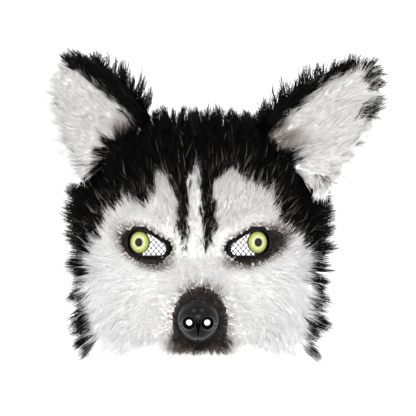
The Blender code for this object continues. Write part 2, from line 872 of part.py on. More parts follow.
def make_eye(name, side, parts, cutters):
    """One eye: the moulded rim, the net behind it and the printed disc on the net."""
    rim = drop_outline(side, SOCKET_WALL)
    place = eye_frame(side, SOCKET_FORWARD)
    socket = flat_solid(f"eye_socket_{name}", parts, rim, SOCKET_DEPTH, place)
    combine(socket, "DIFFERENCE", eye_hole(side, f"eye_opening_{name}", cutters, 0, WALL_CUT))
    net = flat_solid(
        f"eye_net_{name}", parts, drop_outline(side, -GAP), NET_THICKNESS, eye_frame(side, 0)
    )
    combine(net, "DIFFERENCE", net_holes(name, side, cutters))
    seat = NET_THICKNESS / 2 + GAP
    disc = bmesh.new()
    bmesh.ops.create_cone(
        disc,
        cap_ends=True,
        segments=24,
        radius1=IRIS_RADIUS,
        radius2=IRIS_TOP * IRIS_RADIUS,
        depth=IRIS_THICKNESS,
        matrix=eye_frame(side, seat + IRIS_THICKNESS / 2),
    )
    eye = object_from(disc, f"eye_{name}", parts)
    return socket, keep_main_body(net), eye


def net_holes(name, side, cutters):
    """The diamond holes of one net, kept inside its margin and clear of the disc."""
    holes = bmesh.new()
    frame = eye_frame(side, 0)
    reach = IRIS_RADIUS + CORNER_REACH
    count = int(reach / NET_PITCH) + 2
    for i in range(-count, count + 1):
        for j in range(-count, count + 1):
            x = (i + j) * NET_PITCH / math.sqrt(2)
            y = (i - j) * NET_PITCH / math.sqrt(2)
            if not in_net(x, y):
                continue
            where = Matrix.Translation((-side * x, y, 0)) @ Matrix.Rotation(math.pi / 4, 4, "Z")
            size = NET_PITCH - NET_THREAD
            shape = where @ Matrix.Diagonal((size, size, SOCKET_DEPTH, 1))
            bmesh.ops.create_cube(holes, size=1, matrix=frame @ shape)
    return object_from(holes, f"net_holes_{name}", cutters)


def in_net(x, y):
    """True where a hole's middle lies in the inner part of the opening, past the disc."""
    past_disc = math.hypot(x, y) > IRIS_RADIUS - 0.2 * NET_PITCH
    half_hole = (NET_PITCH - NET_THREAD) / math.sqrt(2)
    room = half_hole + NET_MARGIN + GAP
    share = min(max(x / CORNER_REACH, 0), 1)
    large = IRIS_RADIUS + EYE_CRESCENT
    width = large + (CORNER_RADIUS - large) * share
    to_axis = abs(y + CORNER_DROP * share)
    past_corner = max(0.0, x - CORNER_REACH)
    return past_disc and math.hypot(to_axis, past_corner) < width - room


def make_band(parts):
    """The elastic: from inside one temple round the back of the head to the other."""
    start = FACE_DEPTH - SHELL_WALL
    share = BAND_HEIGHT / FACE_TOP
    across = 1.0
    while face_form(across, share).y > start - BAND_TAIL:
        across -= 0.001
    inset = SHELL_WALL + 2 * GAP + BAND_THICKNESS / 2
    half = (face_form(across, share) - face_normal(across, share) * inset).x

    def route(share):
        angle = share * math.pi
        if share < 0:
            return Vector((-half, start + share * BAND_TAIL, BAND_HEIGHT))
        if share > 1:
            return Vector((half, start + (1 - share) * BAND_TAIL, BAND_HEIGHT))
        climb = BAND_CLIMB * math.sin(angle) ** 2
        behind = start + BAND_REACH * math.sin(angle)
        return Vector((-half * math.cos(angle), behind, BAND_HEIGHT + climb))

    def place(column, row, layer):
        share = (column - 1) / BAND_STEPS
        if column < 1:
            share = column - 1
        if column > BAND_STEPS + 1:
            share = column - BAND_STEPS
        ahead = (route(share + 0.001) - route(share - 0.001)).normalized()
        out = Vector((-ahead.y, ahead.x, 0)).normalized()
        across = (row - 0.5) * BAND_WIDTH
        return route(share) + Vector((0, 0, across)) + out * (layer - 0.5) * BAND_THICKNESS

    return slab("elastic_band", parts, BAND_STEPS + 2, 1, place)


def make_coats(parts, cutters):
    """The fur of the face, coat by coat, each cut clear of its neighbours."""
    coats = {}
    everywhere = ((0, COLUMNS), (0, ROWS))
    nose = nose_space(cutters)
    blocks = []
    holes = []
    for name, side in SIDES:
        blocks.append(fringe_block(side, f"fringe_space_{name}", cutters, GAP))
        holes.append(eye_hole(side, f"fur_eye_{name}", cutters, SOCKET_WALL + GAP, WALL_CUT))

    crown = form_slab("crown_fur", parts, *everywhere, GAP, GAP + CROWN_PILE)
    locks = locks_object("crown_locks", cutters, row_of_locks("crown", CROWN_LOCK, CROWN_PILE))
    combine(crown, "UNION", locks, True)
    combine(crown, "DIFFERENCE", brow_prism("brow_space", cutters, GAP))
    for pose in EAR_POSES:
        cells = ((0, EAR_COLUMNS), (0, EAR_ROWS))
        front = 2 * EAR_WALL + 2 * GAP
        beside = 1 + 2 * GAP / EAR_HALF_WIDTH
        space = ear_slab(f"ear_space_{pose[0]}", cutters, pose, *cells, -GAP, front, beside)
        combine(crown, "DIFFERENCE", space)
    coats["crown"] = keep_main_body(crown)

    face = form_slab(
        "face_fur", parts, *everywhere, GAP, lambda point: GAP + face_pile(point)
    )
    locks = locks_object("face_locks", cutters, row_of_locks("face", FACE_LOCK, FACE_PILE))
    combine(face, "UNION", locks, True)
    combine(face, "INTERSECT", brow_prism("brow_field", cutters, 0))
    for space in blocks + holes:
        combine(face, "DIFFERENCE", space)
    combine(face, "DIFFERENCE", muzzle_outline("muzzle_space", cutters, GAP))
    coats["face"] = keep_main_body(face)

    muzzle = form_slab("muzzle_fur", parts, *everywhere, GAP, GAP + MUZZLE_PILE)
    combine(muzzle, "UNION", locks_object("muzzle_locks", cutters, muzzle_locks()), True)
    combine(muzzle, "INTERSECT", muzzle_outline("muzzle_field", cutters, 0))
    combine(muzzle, "DIFFERENCE", nose)
    coats["muzzle"] = keep_main_body(muzzle)

    for name, side in SIDES:
        columns = (COLUMNS - FRINGE_COLUMNS, COLUMNS) if side > 0 else (0, FRINGE_COLUMNS)
        fringe = form_slab(
            f"side_fringe_{name}", parts, columns, (0, FRINGE_ROWS), GAP, GAP + FRINGE_PILE
        )
        locks = locks_object(f"fringe_tufts_{name}", cutters, fringe_locks(side))
        combine(fringe, "UNION", locks, True)
        combine(fringe, "INTERSECT", brow_prism(f"fringe_level_{name}", cutters, 0))
        own = fringe_block(side, f"fringe_field_{name}", cutters, -GAP / 2)
        combine(fringe, "INTERSECT", own)
        coats[name] = keep_main_body(fringe)
    return coats


def across_at(x, share):
    """The share of the way to the rim at which the form has this X."""
    low, high = 0.0, 1.0
    for _ in range(30):
        middle = (low + high) / 2
        if face_form(middle, share).x < abs(x):
            low = middle
        else:
            high = middle
    return math.copysign(low, x)


def muzzle_locks():
    locks = []
    for reach, count, part, lift in MUZZLE_RINGS:
        for i in range(count):
            angle = 2 * math.pi * i / count
            x = reach * NOSE_HALF_WIDTH * math.cos(angle)
            share = (-NOSE_DROP + reach * NOSE_HALF_WIDTH * math.sin(angle)) / FACE_BOTTOM
            if share < -1:
                continue
            across = across_at(x, share)
            locks.append(face_lock(across, share, part * MUZZLE_LOCK, MUZZLE_PILE, lift, i))
    return locks


def fringe_locks(side):
    locks = []
    for across, start, end, count, part, lift in FRINGE_TUFTS:
        for i in range(count):
            share = start + (end - start) * i / (count - 1)
            length = part * FRINGE_LOCK
            locks.append(face_lock(side * across, share, length, FRINGE_PILE, lift, i))
    return locks


def build():
    clear_scene()
    parts = new_collection("husky_mask")
    cutters = new_collection("cutters")
    root = bpy.data.objects.new("husky_mask_root", None)
    parts.objects.link(root)
    core = form_core(cutters)

    made = [(make_shell(parts, cutters), "black_plastic")]
    coats = make_coats(parts, cutters)
    made.append((coats["crown"], "black_fur"))
    made.append((coats["face"], "white_fur"))
    made.append((coats["muzzle"], "muzzle_fur"))
    for name, side in SIDES:
        made.append((coats[name], "black_fur"))
        socket, net, eye = make_eye(name, side, parts, cutters)
        made += [(socket, "black_plastic"), (net, "net_black"), (eye, "iris_print")]
    for pose in EAR_POSES:
        back, inner = make_ear(pose, parts, cutters, core)
        made += [(back, "black_fur"), (inner, "white_fur")]
    made.append((make_nose(parts, cutters, core), "nose_black"))
    made.append((make_band(parts), "elastic_black"))
    for ob, slot in made:
        finish(ob, slot, parts, root)


build()
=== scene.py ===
import math

import bmesh
import bpy
import numpy as np
from mathutils import Matrix, Vector
from mathutils.kdtree import KDTree


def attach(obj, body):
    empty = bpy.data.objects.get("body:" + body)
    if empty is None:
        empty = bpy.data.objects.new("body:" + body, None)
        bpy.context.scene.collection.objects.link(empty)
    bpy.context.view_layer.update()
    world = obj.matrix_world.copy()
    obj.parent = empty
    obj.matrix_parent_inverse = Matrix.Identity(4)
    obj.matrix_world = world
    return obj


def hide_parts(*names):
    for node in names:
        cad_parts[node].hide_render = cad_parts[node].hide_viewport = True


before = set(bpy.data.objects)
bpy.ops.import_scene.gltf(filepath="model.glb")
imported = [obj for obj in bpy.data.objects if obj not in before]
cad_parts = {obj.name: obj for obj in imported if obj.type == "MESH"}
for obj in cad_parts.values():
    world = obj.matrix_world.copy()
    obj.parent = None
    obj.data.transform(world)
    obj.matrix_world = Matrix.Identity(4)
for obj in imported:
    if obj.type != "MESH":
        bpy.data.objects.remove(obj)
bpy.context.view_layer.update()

rng = np.random.default_rng(11)

# The photo's view: the camera faces the mask level from this distance, and one pixel of the
# photo is this wide at the eyes.
VIEW_DISTANCE = 1.6
PIXEL = 0.0008
PHOTO_WIDTH = 416
PHOTO_AXIS = (208.0, 208.0)
PHOTO_ORIGIN = (198.5, 245.0)
CAMERA_X = (PHOTO_AXIS[0] - PHOTO_ORIGIN[0]) * PIXEL
CAMERA_Z = (PHOTO_ORIGIN[1] - PHOTO_AXIS[1]) * PIXEL

# The moulded form that the fur lies on
GAP = 0.0003
SHELL_WALL = 0.002
FACE_HALF_WIDTH = 0.085
FACE_TOP = 0.092
FACE_BOTTOM = 0.080
FACE_DEPTH = 0.070
SNOUT_LENGTH = 0.046
SNOUT_HALF_WIDTH = 0.052
SNOUT_HALF_HEIGHT = 0.048
SNOUT_DROP = 0.058
BROW_RISE = 0.006
CHEEK_RISE = 0.008

# Steps of a sequence that strews places evenly over a square
STREW_STEPS = (0.7548776662, 0.5698402910)

# Pile: counts, lengths and radii, and the height of the dense roots
FACE_HAIRS = 45400
FACE_LOCKS = 3400
WHITE_LENGTH = 0.0135
BLACK_LENGTH = 0.0195
EYE_SIDE_LENGTH = 0.0042
NOSE_SIDE_LENGTH = 0.0065
WHITE_RADIUS = 0.00022
BLACK_RADIUS = 0.00026
PLUSH_HAIRS = {"eye": 23500, "muzzle": 31000}
PLUSH_LOCKS = 2600
PLUSH_LENGTHS = {"eye": 0.0050, "muzzle": 0.0062}
EAR_HAIRS = {"front": 7500, "back": 4500}
EAR_LOCKS = 420
EAR_HAIR_RADIUS = 0.00023
WHITE_EAR_LENGTH = 0.0150
BLACK_EAR_LENGTH = 0.0185
HAIR_TAPER = 0.32
LONG_ROOTS = 0.0018
WHITE_ROOTS = 0.0014
PLUSH_ROOTS = 0.0010
FRINGE_TOP = -0.02

# Tones on the pile's ramps, from dark to pale, and the painted shade that greys the brows and the bridge
WHITE_TONE = 0.97
PLUSH_TONE = 0.96
# The ears' white pile is painted greyer than the face's, a painted shade
WHITE_EAR_TONE = 0.80
BLACK_TONE = 0.30
BROW_PAINTED_SHADE = 0.24
DARK_PLUSH = 0.85

# Ears
EAR_LENGTH = 0.104
EAR_HALF_WIDTH = 0.039
EAR_CUP = 0.017
EAR_SETBACK = 0.044
EAR_WALL = 0.003
EAR_BAND = -0.667
INNER_WALL = 0.0012

# Eyes
EYE_OFFSET = 0.0464
EYE_HEIGHT = 0.002
EYE_YAW = math.radians(27)
IRIS_RADIUS = 0.0084
DISC_RADIUS = 0.0088
DISC_SIDES = 64
DISC_DOME = (
    # share of the radius, height
    (1.0, 0.0), (1.0, 0.0009), (0.985, 0.0013), (0.93, 0.0017), (0.80, 0.0021),
    (0.60, 0.0025), (0.35, 0.0028), (0.12, 0.0029),
)
RIM_HEIGHT = 0.0032
EYE_CRESCENT = 0.0021
CORNER_RADIUS = 0.0052
CORNER_REACH = 0.0195
CORNER_DROP = 0.005
SOCKET_WALL = 0.0015
NET_PITCH = 0.0033
NET_THREAD = 0.0007
NET_LIFT = 0.00022

# Nose
NOSE_HALF_WIDTH = 0.0163
NOSE_HALF_HEIGHT = 0.0166
NOSE_SHOWN_HEIGHT = 0.0160
NOSE_SHOWN_DROP = 0.0576
NOSTRIL_SHOWN_DROP = 0.0590
NOSE_DEPTH = 0.015
NOSE_DROP = 0.0594
NOSE_SEAT_RADIUS = 0.0112
NOSTRIL_OFFSET = 0.007
NOSTRIL_RADIUS = 0.0023
NOSTRIL_RING = 0.0050

SIDES = (("left", -1), ("right", 1))

# Sections of the form, bottom to top
FORM_SECTIONS = np.array((
    # height, width, front, rim
    (-1.00, 0.90, 0.10, 0.88),
    (-0.70, 0.96, 0.00, 0.95),
    (-0.35, 0.99, -0.02, 1.00),
    (0.00, 1.00, 0.00, 1.00),
    (0.35, 0.99, -0.01, 1.00),
    (0.60, 0.94, 0.06, 0.98),
    (0.80, 0.84, 0.17, 0.95),
    (0.93, 0.72, 0.29, 0.92),
    (1.00, 0.61, 0.38, 0.90),
))

# Swellings on each side of the form: the brow and the cheek
FACE_SWELLS = (
    # rise, across, up, half width, half height
    (BROW_RISE, 0.46 * FACE_HALF_WIDTH, 0.34 * FACE_TOP, 0.40 * FACE_HALF_WIDTH, 0.30 * FACE_TOP),
    (CHEEK_RISE, 0.60 * FACE_HALF_WIDTH, -0.55 * FACE_BOTTOM, 0.42 * FACE_HALF_WIDTH, 0.50 * FACE_BOTTOM),
)

# Outline of one ear
EAR_SECTIONS = np.array((
    # along, half width
    (0.00, 1.00),
    (0.20, 0.97),
    (0.40, 0.88),
    (0.60, 0.75),
    (0.75, 0.60),
    (0.88, 0.38),
    (1.00, 0.04),
))

EAR_POSES = (
    # name, side, across, height, roll, lean, turn
    ("left", -1, 0.73, 0.84, math.radians(34), math.radians(29), math.radians(14)),
    ("right", 1, 0.88, 0.77, math.radians(44), math.radians(8), math.radians(4)),
)

# Edge of the white fur in the photo, from the lower left round the brows to the lower right.
# Below the eyes the sides are white as far as the dark edging at the rim.
WHITE_EDGE = np.array((
    (30, 420), (30, 262), (92, 258), (97, 240), (103, 224), (110, 207), (125, 198),
    (140, 197), (147, 203), (151, 190), (155, 180), (163, 171), (171, 179), (179, 200),
    (176, 225), (186, 251), (190, 232), (188, 205), (187, 180), (191, 170), (196, 166),
    (201, 170), (202, 200), (203, 230), (205, 252), (213, 232), (216, 205), (212, 181),
    (222, 172), (235, 166), (245, 179), (265, 189), (275, 199), (281, 215), (294, 230),
    (303, 244), (309, 258), (390, 262), (390, 420),
))
RIM_EDGE = 0.93

# The lower edge is drawn in at these columns of the photo, and hangs lower at those
NOTCHES = ((90, 7), (158, 8), (243, 8), (312, 7))
LOBES = ((122, 16), (200, 24), (272, 14))

# White fronts of the ears in the photo
WHITE_EARS = {
    "left": np.array((
        (58, 54), (66, 62), (75, 70), (88, 79), (100, 88), (112, 98), (122, 107), (130, 116),
        (135, 126), (138, 138), (128, 141), (118, 138), (106, 141), (99, 150), (98, 165),
        (94, 180), (88, 192), (60, 205), (25, 180), (20, 90), (40, 54),
    )),
    "right": np.array((
        (267, 138), (275, 120), (290, 107), (305, 93), (325, 81), (345, 71), (365, 64), (405, 50),
        (415, 120), (380, 135), (358, 162), (338, 192), (326, 210), (311, 205), (304, 185),
        (298, 168), (291, 151), (284, 153),
    )),
}

# Black tufts in the outer edge of the white fronts
EAR_TUFTS = {
    "left": (),
    "right": (
        np.array(((366, 62), (400, 66), (384, 88), (372, 92), (364, 78))),
        np.array(((366, 100), (388, 96), (376, 116), (356, 124))),
    ),
}

# Dark patches round the eyes in the photo
EYE_PATCHES = (
    # centre x, centre y, half length, half width, tilt
    (144.0, 247.0, 32.0, 20.0, math.radians(32)),
    (257.0, 246.5, 36.0, 20.0, math.radians(-24)),
)
MUZZLE_PATCH = (200.0, 321.0, 31.0, 38.0)


# Sizes of the materials' patterns: grains in metres, and streaks along one fibre's map
ROOT_GRAIN = 1 / 900
BROAD_GRAIN = 1 / 60
SHELL_GRAIN = 1 / 1400
NOSE_GRAIN = 1 / 1200
THREAD_GRAIN = 1 / 3000
FLOOR_GRAIN = 1 / 3
ELASTIC_RIBS = 320.0
FIBRE_STREAKS = (260, 7, 1)
IRIS_RAYS = (16, 2.5, 1)
MULTIPLY = {"data_type": "RGBA", "blend_type": "MULTIPLY"}


def linear(code):
    """The linear colour of an sRGB hex code."""
    values = [int(code[i:i + 2], 16) / 255 for i in (1, 3, 5)]
    return [v / 12.92 if v <= 0.04045 else ((v + 0.055) / 1.055) ** 2.4 for v in values] + [1.0]


def add(tree, kind, settings=None, links=None, stops=()):
    """One node, with its settings, its inputs set or linked, and the stops of a ramp."""
    made = tree.nodes.new(kind)
    for name, value in (settings or {}).items():
        setattr(made, name, value)
    for name, value in (links or {}).items():
        if isinstance(value, bpy.types.NodeSocket):
            tree.links.new(value, made.inputs[name])
        else:
            made.inputs[name].default_value = value
    if stops:
        elements = made.color_ramp.elements
        while len(elements) < len(stops):
            elements.new(0.5)
        for element, (place, code) in zip(elements, stops):
            element.position = place
            element.color = linear(code)
    return made


def new_material(name):
    """A material with its node tree and its shader."""
    made = bpy.data.materials.new(name)
    made.use_nodes = True
    return made, made.node_tree, made.node_tree.nodes["Principled BSDF"]


def mottled_material(name, low, high, roughness, gloss, pitch, bump, broad=None, spread=(1.0, 1.0)):
    """A surface with a grain this many metres wide, which raises it and makes it more or less dull.

    Its colour changes with the grain, or with a broader one.
    """
    mat, tree, shader = new_material(name)
    where = add(tree, "ShaderNodeTexCoord").outputs["Object"]
    grain = add(tree, "ShaderNodeTexNoise", None, {"Vector": where, "Scale": 1 / pitch}).outputs["Fac"]
    patches = grain
    if broad:
        patches = add(tree, "ShaderNodeTexNoise", None, {"Vector": where, "Scale": 1 / broad}).outputs["Fac"]
    mottle = add(tree, "ShaderNodeValToRGB", None, {"Fac": patches}, ((0.3, low), (0.7, high)))
    dull = {"Value": grain, "To Min": roughness * spread[0], "To Max": roughness * spread[1]}
    dull = add(tree, "ShaderNodeMapRange", None, dull)
    strength, distance = bump
    relief = {"Height": grain, "Strength": strength, "Distance": distance}
    relief = add(tree, "ShaderNodeBump", None, relief)
    tree.links.new(mottle.outputs["Color"], shader.inputs["Base Color"])
    tree.links.new(dull.outputs["Result"], shader.inputs["Roughness"])
    tree.links.new(relief.outputs["Normal"], shader.inputs["Normal"])
    shader.inputs["Specular IOR Level"].default_value = gloss
    return mat


def pile_material(name, stops, shade, roughness, gloss, scatter):
    """Extruded acrylic fibres. The map's X is a hair's tone and its Y the way to its tip.

    Painted shade darkens each fibre towards its root, each fibre has faint streaks along it, and pale fibres
    let light through.
    """
    mat, tree, shader = new_material(name)
    where = add(tree, "ShaderNodeUVMap", {"uv_map": "OFBake"}).outputs["UV"]
    parts = add(tree, "ShaderNodeSeparateXYZ", None, {"Vector": where})
    tone = add(tree, "ShaderNodeValToRGB", None, {"Fac": parts.outputs["X"]}, stops)
    # Painted shade: each hair is painted darker towards its root
    depth = add(
        tree, "ShaderNodeValToRGB", None, {"Fac": parts.outputs["Y"]}, ((0.0, shade), (0.55, "#ffffff")),
    )
    spread = add(tree, "ShaderNodeMapping", None, {"Vector": where, "Scale": FIBRE_STREAKS})
    streak = add(tree, "ShaderNodeTexNoise", None, {"Vector": spread.outputs["Vector"], "Scale": 1.0})
    light = add(
        tree, "ShaderNodeValToRGB", None, {"Fac": streak.outputs["Fac"]},
        ((0.25, "#f2f2f2"), (0.75, "#ffffff")),
    )
    colour = tone.outputs["Color"]
    for layer in (depth, light):
        mix = {"Factor": 1.0, "A": colour, "B": layer.outputs["Color"]}
        colour = add(tree, "ShaderNodeMix", MULTIPLY, mix).outputs["Result"]
    tree.links.new(colour, shader.inputs["Base Color"])
    shader.inputs["Roughness"].default_value = roughness
    shader.inputs["Specular IOR Level"].default_value = gloss
    shader.inputs["Subsurface Weight"].default_value = scatter
    shader.inputs["Subsurface Radius"].default_value = (1, 1, 1)
    shader.inputs["Subsurface Scale"].default_value = 0.004
    return mat


def backing_material(name, low, high):
    """Dense fibre roots on a knitted backing: dull, and mottled from tuft to tuft."""
    return mottled_material(name, low, high, 0.9, 0.1, ROOT_GRAIN, (0.6, 0.0006))


def unit(v):
    """Vectors drawn out or in to a length of 1."""
    return v / np.maximum(np.linalg.norm(v, axis=-1, keepdims=True), 1e-12)


def dot(a, b):
    return (a * b).sum(-1, keepdims=True)


def smooth(low, high, at):
    """0 below low, 1 above high, and a soft step between."""
    t = np.clip((at - low) / (high - low), 0, 1)
    return t * t * (3 - 2 * t)


def through(rows, column, at):
    """A smooth curve through one column of a table."""
    places = rows[:, 0]
    values = rows[:, column]
    at = np.clip(at, places[0], places[-1])
    slopes = np.gradient(values, places)
    i = np.clip(np.searchsorted(places, at) - 1, 0, len(places) - 2)
    step = places[i + 1] - places[i]
    t = (at - places[i]) / step
    rise = t * t * (3 - 2 * t)
    bend = t * (1 - t) ** 2 * slopes[i] + t * t * (t - 1) * slopes[i + 1]
    return values[i] + (values[i + 1] - values[i]) * rise + bend * step


def swell(x, z, centre_x, centre_z, half_width, half_height):
    """A soft hump: 1 at its centre and 0 past its half width and half height."""
    reach = np.hypot((x - centre_x) / half_width, (z - centre_z) / half_height)
    return np.cos(np.minimum(reach, 1) * np.pi / 2) ** 1.4


def face_form(across, share):
    """The form's outer surface. Across runs from -1 to 1 and share from -1 below to 1 above."""
    turn = np.sign(across) * np.abs(across) ** 1.12 * np.pi / 2
    z = share * np.where(share > 0, FACE_TOP, FACE_BOTTOM)
    front = through(FORM_SECTIONS, 2, share) * FACE_DEPTH
    rim = through(FORM_SECTIONS, 3, share) * FACE_DEPTH
    x = through(FORM_SECTIONS, 1, share) * FACE_HALF_WIDTH * np.sin(turn)
    y = front + (rim - front) * (1 - np.cos(turn)) - SHELL_WALL
    y = y - SNOUT_LENGTH * swell(x, z, 0, -SNOUT_DROP, SNOUT_HALF_WIDTH, SNOUT_HALF_HEIGHT)
    for side in (-1, 1):
        for rise, px, pz, wide, high in FACE_SWELLS:
            y = y - rise * swell(x, z, side * px, pz, wide, high)
    return np.stack((x, y, z), -1)


def face_normal(across, share):
    step = 0.006
    u = face_form(np.clip(across + step, -1, 1), share) - face_form(np.clip(across - step, -1, 1), share)
    v = face_form(across, np.clip(share + step, -1, 1)) - face_form(across, np.clip(share - step, -1, 1))
    return unit(np.cross(u, v))


def across_at(x, share):
    """The share of the way to the rim at which the form has this X."""
    low, high = np.zeros_like(x), np.ones_like(x)
    for _ in range(26):
        middle = (low + high) / 2
        short = face_form(middle, share)[..., 0] < np.abs(x)
        low, high = np.where(short, middle, low), np.where(short, high, middle)
    return np.copysign(low, x)


def seen(points):
    """Where points lie in the photo, in its pixels."""
    near = VIEW_DISTANCE / (VIEW_DISTANCE + points[..., 1])
    x = CAMERA_X + (points[..., 0] - CAMERA_X) * near
    z = CAMERA_Z + (points[..., 2] - CAMERA_Z) * near
    return PHOTO_ORIGIN[0] + x / PIXEL, PHOTO_ORIGIN[1] - z / PIXEL


def inside(outline, x, y):
    """True where a point lies in a closed outline."""
    found = np.zeros(x.shape, bool)
    for (x0, y0), (x1, y1) in zip(outline, np.roll(outline, -1, axis=0)):
        if y0 == y1:
            continue
        crossing = (y0 > y) != (y1 > y)
        found ^= crossing & (x < (x1 - x0) * (y - y0) / (y1 - y0) + x0)
    return found


def edge_distance(outline, x, y):
    """Distance in pixels from the nearest side of an outline."""
    near = np.full(x.shape, 1e9)
    for (x0, y0), (x1, y1) in zip(outline, np.roll(outline, -1, axis=0)):
        length = (x1 - x0) ** 2 + (y1 - y0) ** 2
        t = np.clip(((x - x0) * (x1 - x0) + (y - y0) * (y1 - y0)) / length, 0, 1)
        near = np.minimum(near, np.hypot(x - x0 - t * (x1 - x0), y - y0 - t * (y1 - y0)))
    return near


def scattered(count, low, high):
    """Evenly strewn places in a rectangle."""
    steps = np.arange(count) + rng.random()
    return [low[i] + (high[i] - low[i]) * ((steps * STREW_STEPS[i]) % 1) for i in (0, 1)]


def surface_area(form, u, v):
    step = 0.004
    a = form(u + step, v) - form(u - step, v)
    b = form(u, v + step) - form(u, v - step)
    return np.linalg.norm(np.cross(a, b), axis=-1)


def strewn(form, wanted, low, high, weight=None):
    """Places on a surface, spread by its area and a weight."""
    u, v = scattered(wanted * 6, low, high)
    worth = surface_area(form, u, v)
    if weight is not None:
        worth = worth * weight(u, v)
    limit = np.quantile(worth, 0.995)
    kept = rng.random(len(u)) < np.minimum(worth / limit, 1)
    order = rng.permutation(np.flatnonzero(kept))[:wanted]
    return u[order], v[order]


def nearest_lock(points, centres):
    tree = KDTree(len(centres))
    for i, centre in enumerate(centres):
        tree.insert(centre, i)
    tree.balance()
    return np.array([tree.find(point)[1] for point in points])


def gather(lines, lock, pull):
    """Draw the hairs of each lock together, more towards their tips."""
    count = np.maximum(np.bincount(lock, minlength=lock.max() + 1), 1)
    for k, line in enumerate(lines[1:], 1):
        share = k / (len(lines) - 1)
        for axis in range(3):
            middle = np.bincount(lock, line[:, axis]) / count
            line[:, axis] += (middle[lock] - line[:, axis]) * pull * share ** 0.8
    return lines


def hair_mesh(name, lines, normal, radius, tone, mat):
    """A joined mesh of closed three sided hairs that taper to their tips.

    The tone is one value a hair, or one for each point of its line.
    """
    rings = len(lines) - 1
    count = len(lines[0])
    points = 3 * rings + 1
    verts = np.empty((count, points, 3))
    for k in range(rings):
        axis = unit(lines[k + 1] - lines[max(k - 1, 0)])
        across = unit(np.cross(axis, normal))
        up = np.cross(across, axis)
        wide = radius * (1 - HAIR_TAPER * k / rings)
        for c in range(3):
            angle = math.pi / 2 + c * 2 * math.pi / 3
            offset = across * math.cos(angle) + up * math.sin(angle)
            verts[:, 3 * k + c] = lines[k] + offset * wide[:, None]
    verts[:, -1] = lines[-1]
    # Places of a hair's corners on its map, which has a little width and a margin at both ends
    shift = (-0.003, 0.0, 0.003)
    faces = [[(0, shift[0], 0.0, 0), (1, shift[1], 0.03, 0), (2, shift[2], 0.0, 0)]]
    for k in range(rings):
        low, high = k / rings * 0.98 + 0.01, (k + 1) / rings * 0.98 + 0.01
        for c in range(3):
            d = (c + 1) % 3
            first, last = (3 * k + c, shift[c], low, k), (3 * k + d, shift[d], low, k)
            over = [(3 * k + 3 + i, shift[i], high, k + 1) for i in (c, d)]
            if k == rings - 1:
                over = [(3 * rings, 0.0, high, k + 1)]
            faces.append([first, *over, last])
    corners = [corner for face in faces for corner in face]
    sizes = np.array([len(face) for face in faces])
    starts = np.concatenate(([0], np.cumsum(sizes)[:-1]))
    index = np.array([corner[0] for corner in corners])
    mesh = bpy.data.meshes.new(name)
    mesh.vertices.add(count * points)
    mesh.vertices.foreach_set("co", verts.astype(np.float32).ravel())
    hair = np.arange(count)[:, None]
    mesh.loops.add(count * len(corners))
    mesh.loops.foreach_set("vertex_index", (hair * points + index).astype(np.int32).ravel())
    mesh.polygons.add(count * len(faces))
    mesh.polygons.foreach_set("loop_start", (hair * len(corners) + starts).astype(np.int32).ravel())
    mesh.update(calc_edges=True)
    uv = np.empty((count, len(corners), 2), np.float32)
    tones = np.clip(tone, 0.01, 0.99)
    if tones.ndim == 1:
        tones = np.repeat(tones[:, None], rings + 1, axis=1)
    uv[..., 0] = tones[:, [corner[3] for corner in corners]] + np.array([corner[1] for corner in corners])
    uv[..., 1] = np.array([corner[2] for corner in corners])
    mesh.uv_layers.new(name="OFBake").uv.foreach_set("vector", uv.ravel())
    mesh.shade_smooth()
    mesh.materials.append(mat)
    ob = bpy.data.objects.new(name, mesh)
    bpy.context.scene.collection.objects.link(ob)
    return ob


def settle(ob, slot, *nodes):
    """The piece rides on the object and stands for CAD nodes. Its slot is not used."""
    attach(ob, "root")
    if nodes:
        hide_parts(*nodes)
    return ob


def from_bmesh(bm, name, mat, sharp=35):
    bmesh.ops.recalc_face_normals(bm, faces=bm.faces)
    if bm.calc_volume(signed=True) < 0:
        bmesh.ops.reverse_faces(bm, faces=bm.faces)
    mesh = bpy.data.meshes.new(name)
    bm.to_mesh(mesh)
    bm.free()
    mesh.shade_smooth()
    mesh.set_sharp_from_angle(angle=math.radians(sharp))
    mesh.materials.append(mat)
    ob = bpy.data.objects.new(name, mesh)
    bpy.context.scene.collection.objects.link(ob)
    return ob


def bent_slab(name, mat, columns, rows, place, kept=None):
    """A closed slab of a grid of cells, some of them left out, bent by place(u, v, layer)."""
    bm = bmesh.new()
    bmesh.ops.create_grid(bm, x_segments=columns, y_segments=rows, size=1)
    if kept is not None:
        spare = []
        for face in bm.faces:
            middle = face.calc_center_median()
            column = int((middle.x + 1) / 2 * columns)
            row = int((middle.y + 1) / 2 * rows)
            if not kept[column, row]:
                spare.append(face)
        bmesh.ops.delete(bm, geom=spare, context="FACES")
    raised = bmesh.ops.extrude_face_region(bm, geom=bm.faces[:], use_keep_orig=True)
    upper = {v for v in raised["geom"] if isinstance(v, bmesh.types.BMVert)}
    verts = bm.verts[:]
    flat = np.array([v.co[:2] for v in verts])
    layer = np.array([v in upper for v in verts])
    for vert, place_at in zip(verts, place((flat[:, 0] + 1) / 2, (flat[:, 1] + 1) / 2, layer)):
        vert.co = place_at
    return from_bmesh(bm, name, mat)


def sleeve(bm, loops):
    """A skin over loops of equal length, whose ends draw in to a point or meet each other."""
    loops = np.array(loops)
    rows, count = loops.shape[0] - 1, loops.shape[1]
    verts = bmesh.ops.create_grid(bm, x_segments=count, y_segments=rows, size=1)["verts"]
    for vert in verts:
        column = round((vert.co.x + 1) / 2 * count) % count
        row = round((vert.co.y + 1) / 2 * rows)
        vert.co = loops[row, column]
    bmesh.ops.remove_doubles(bm, verts=verts, dist=1e-6)


def capped(loops):
    """The loops with their ends drawn in to a point."""
    loops = np.array(loops)
    ends = [np.broadcast_to(loops[k].mean(0), loops[k].shape) for k in (0, -1)]
    return np.concatenate((ends[:1], loops, ends[1:]))


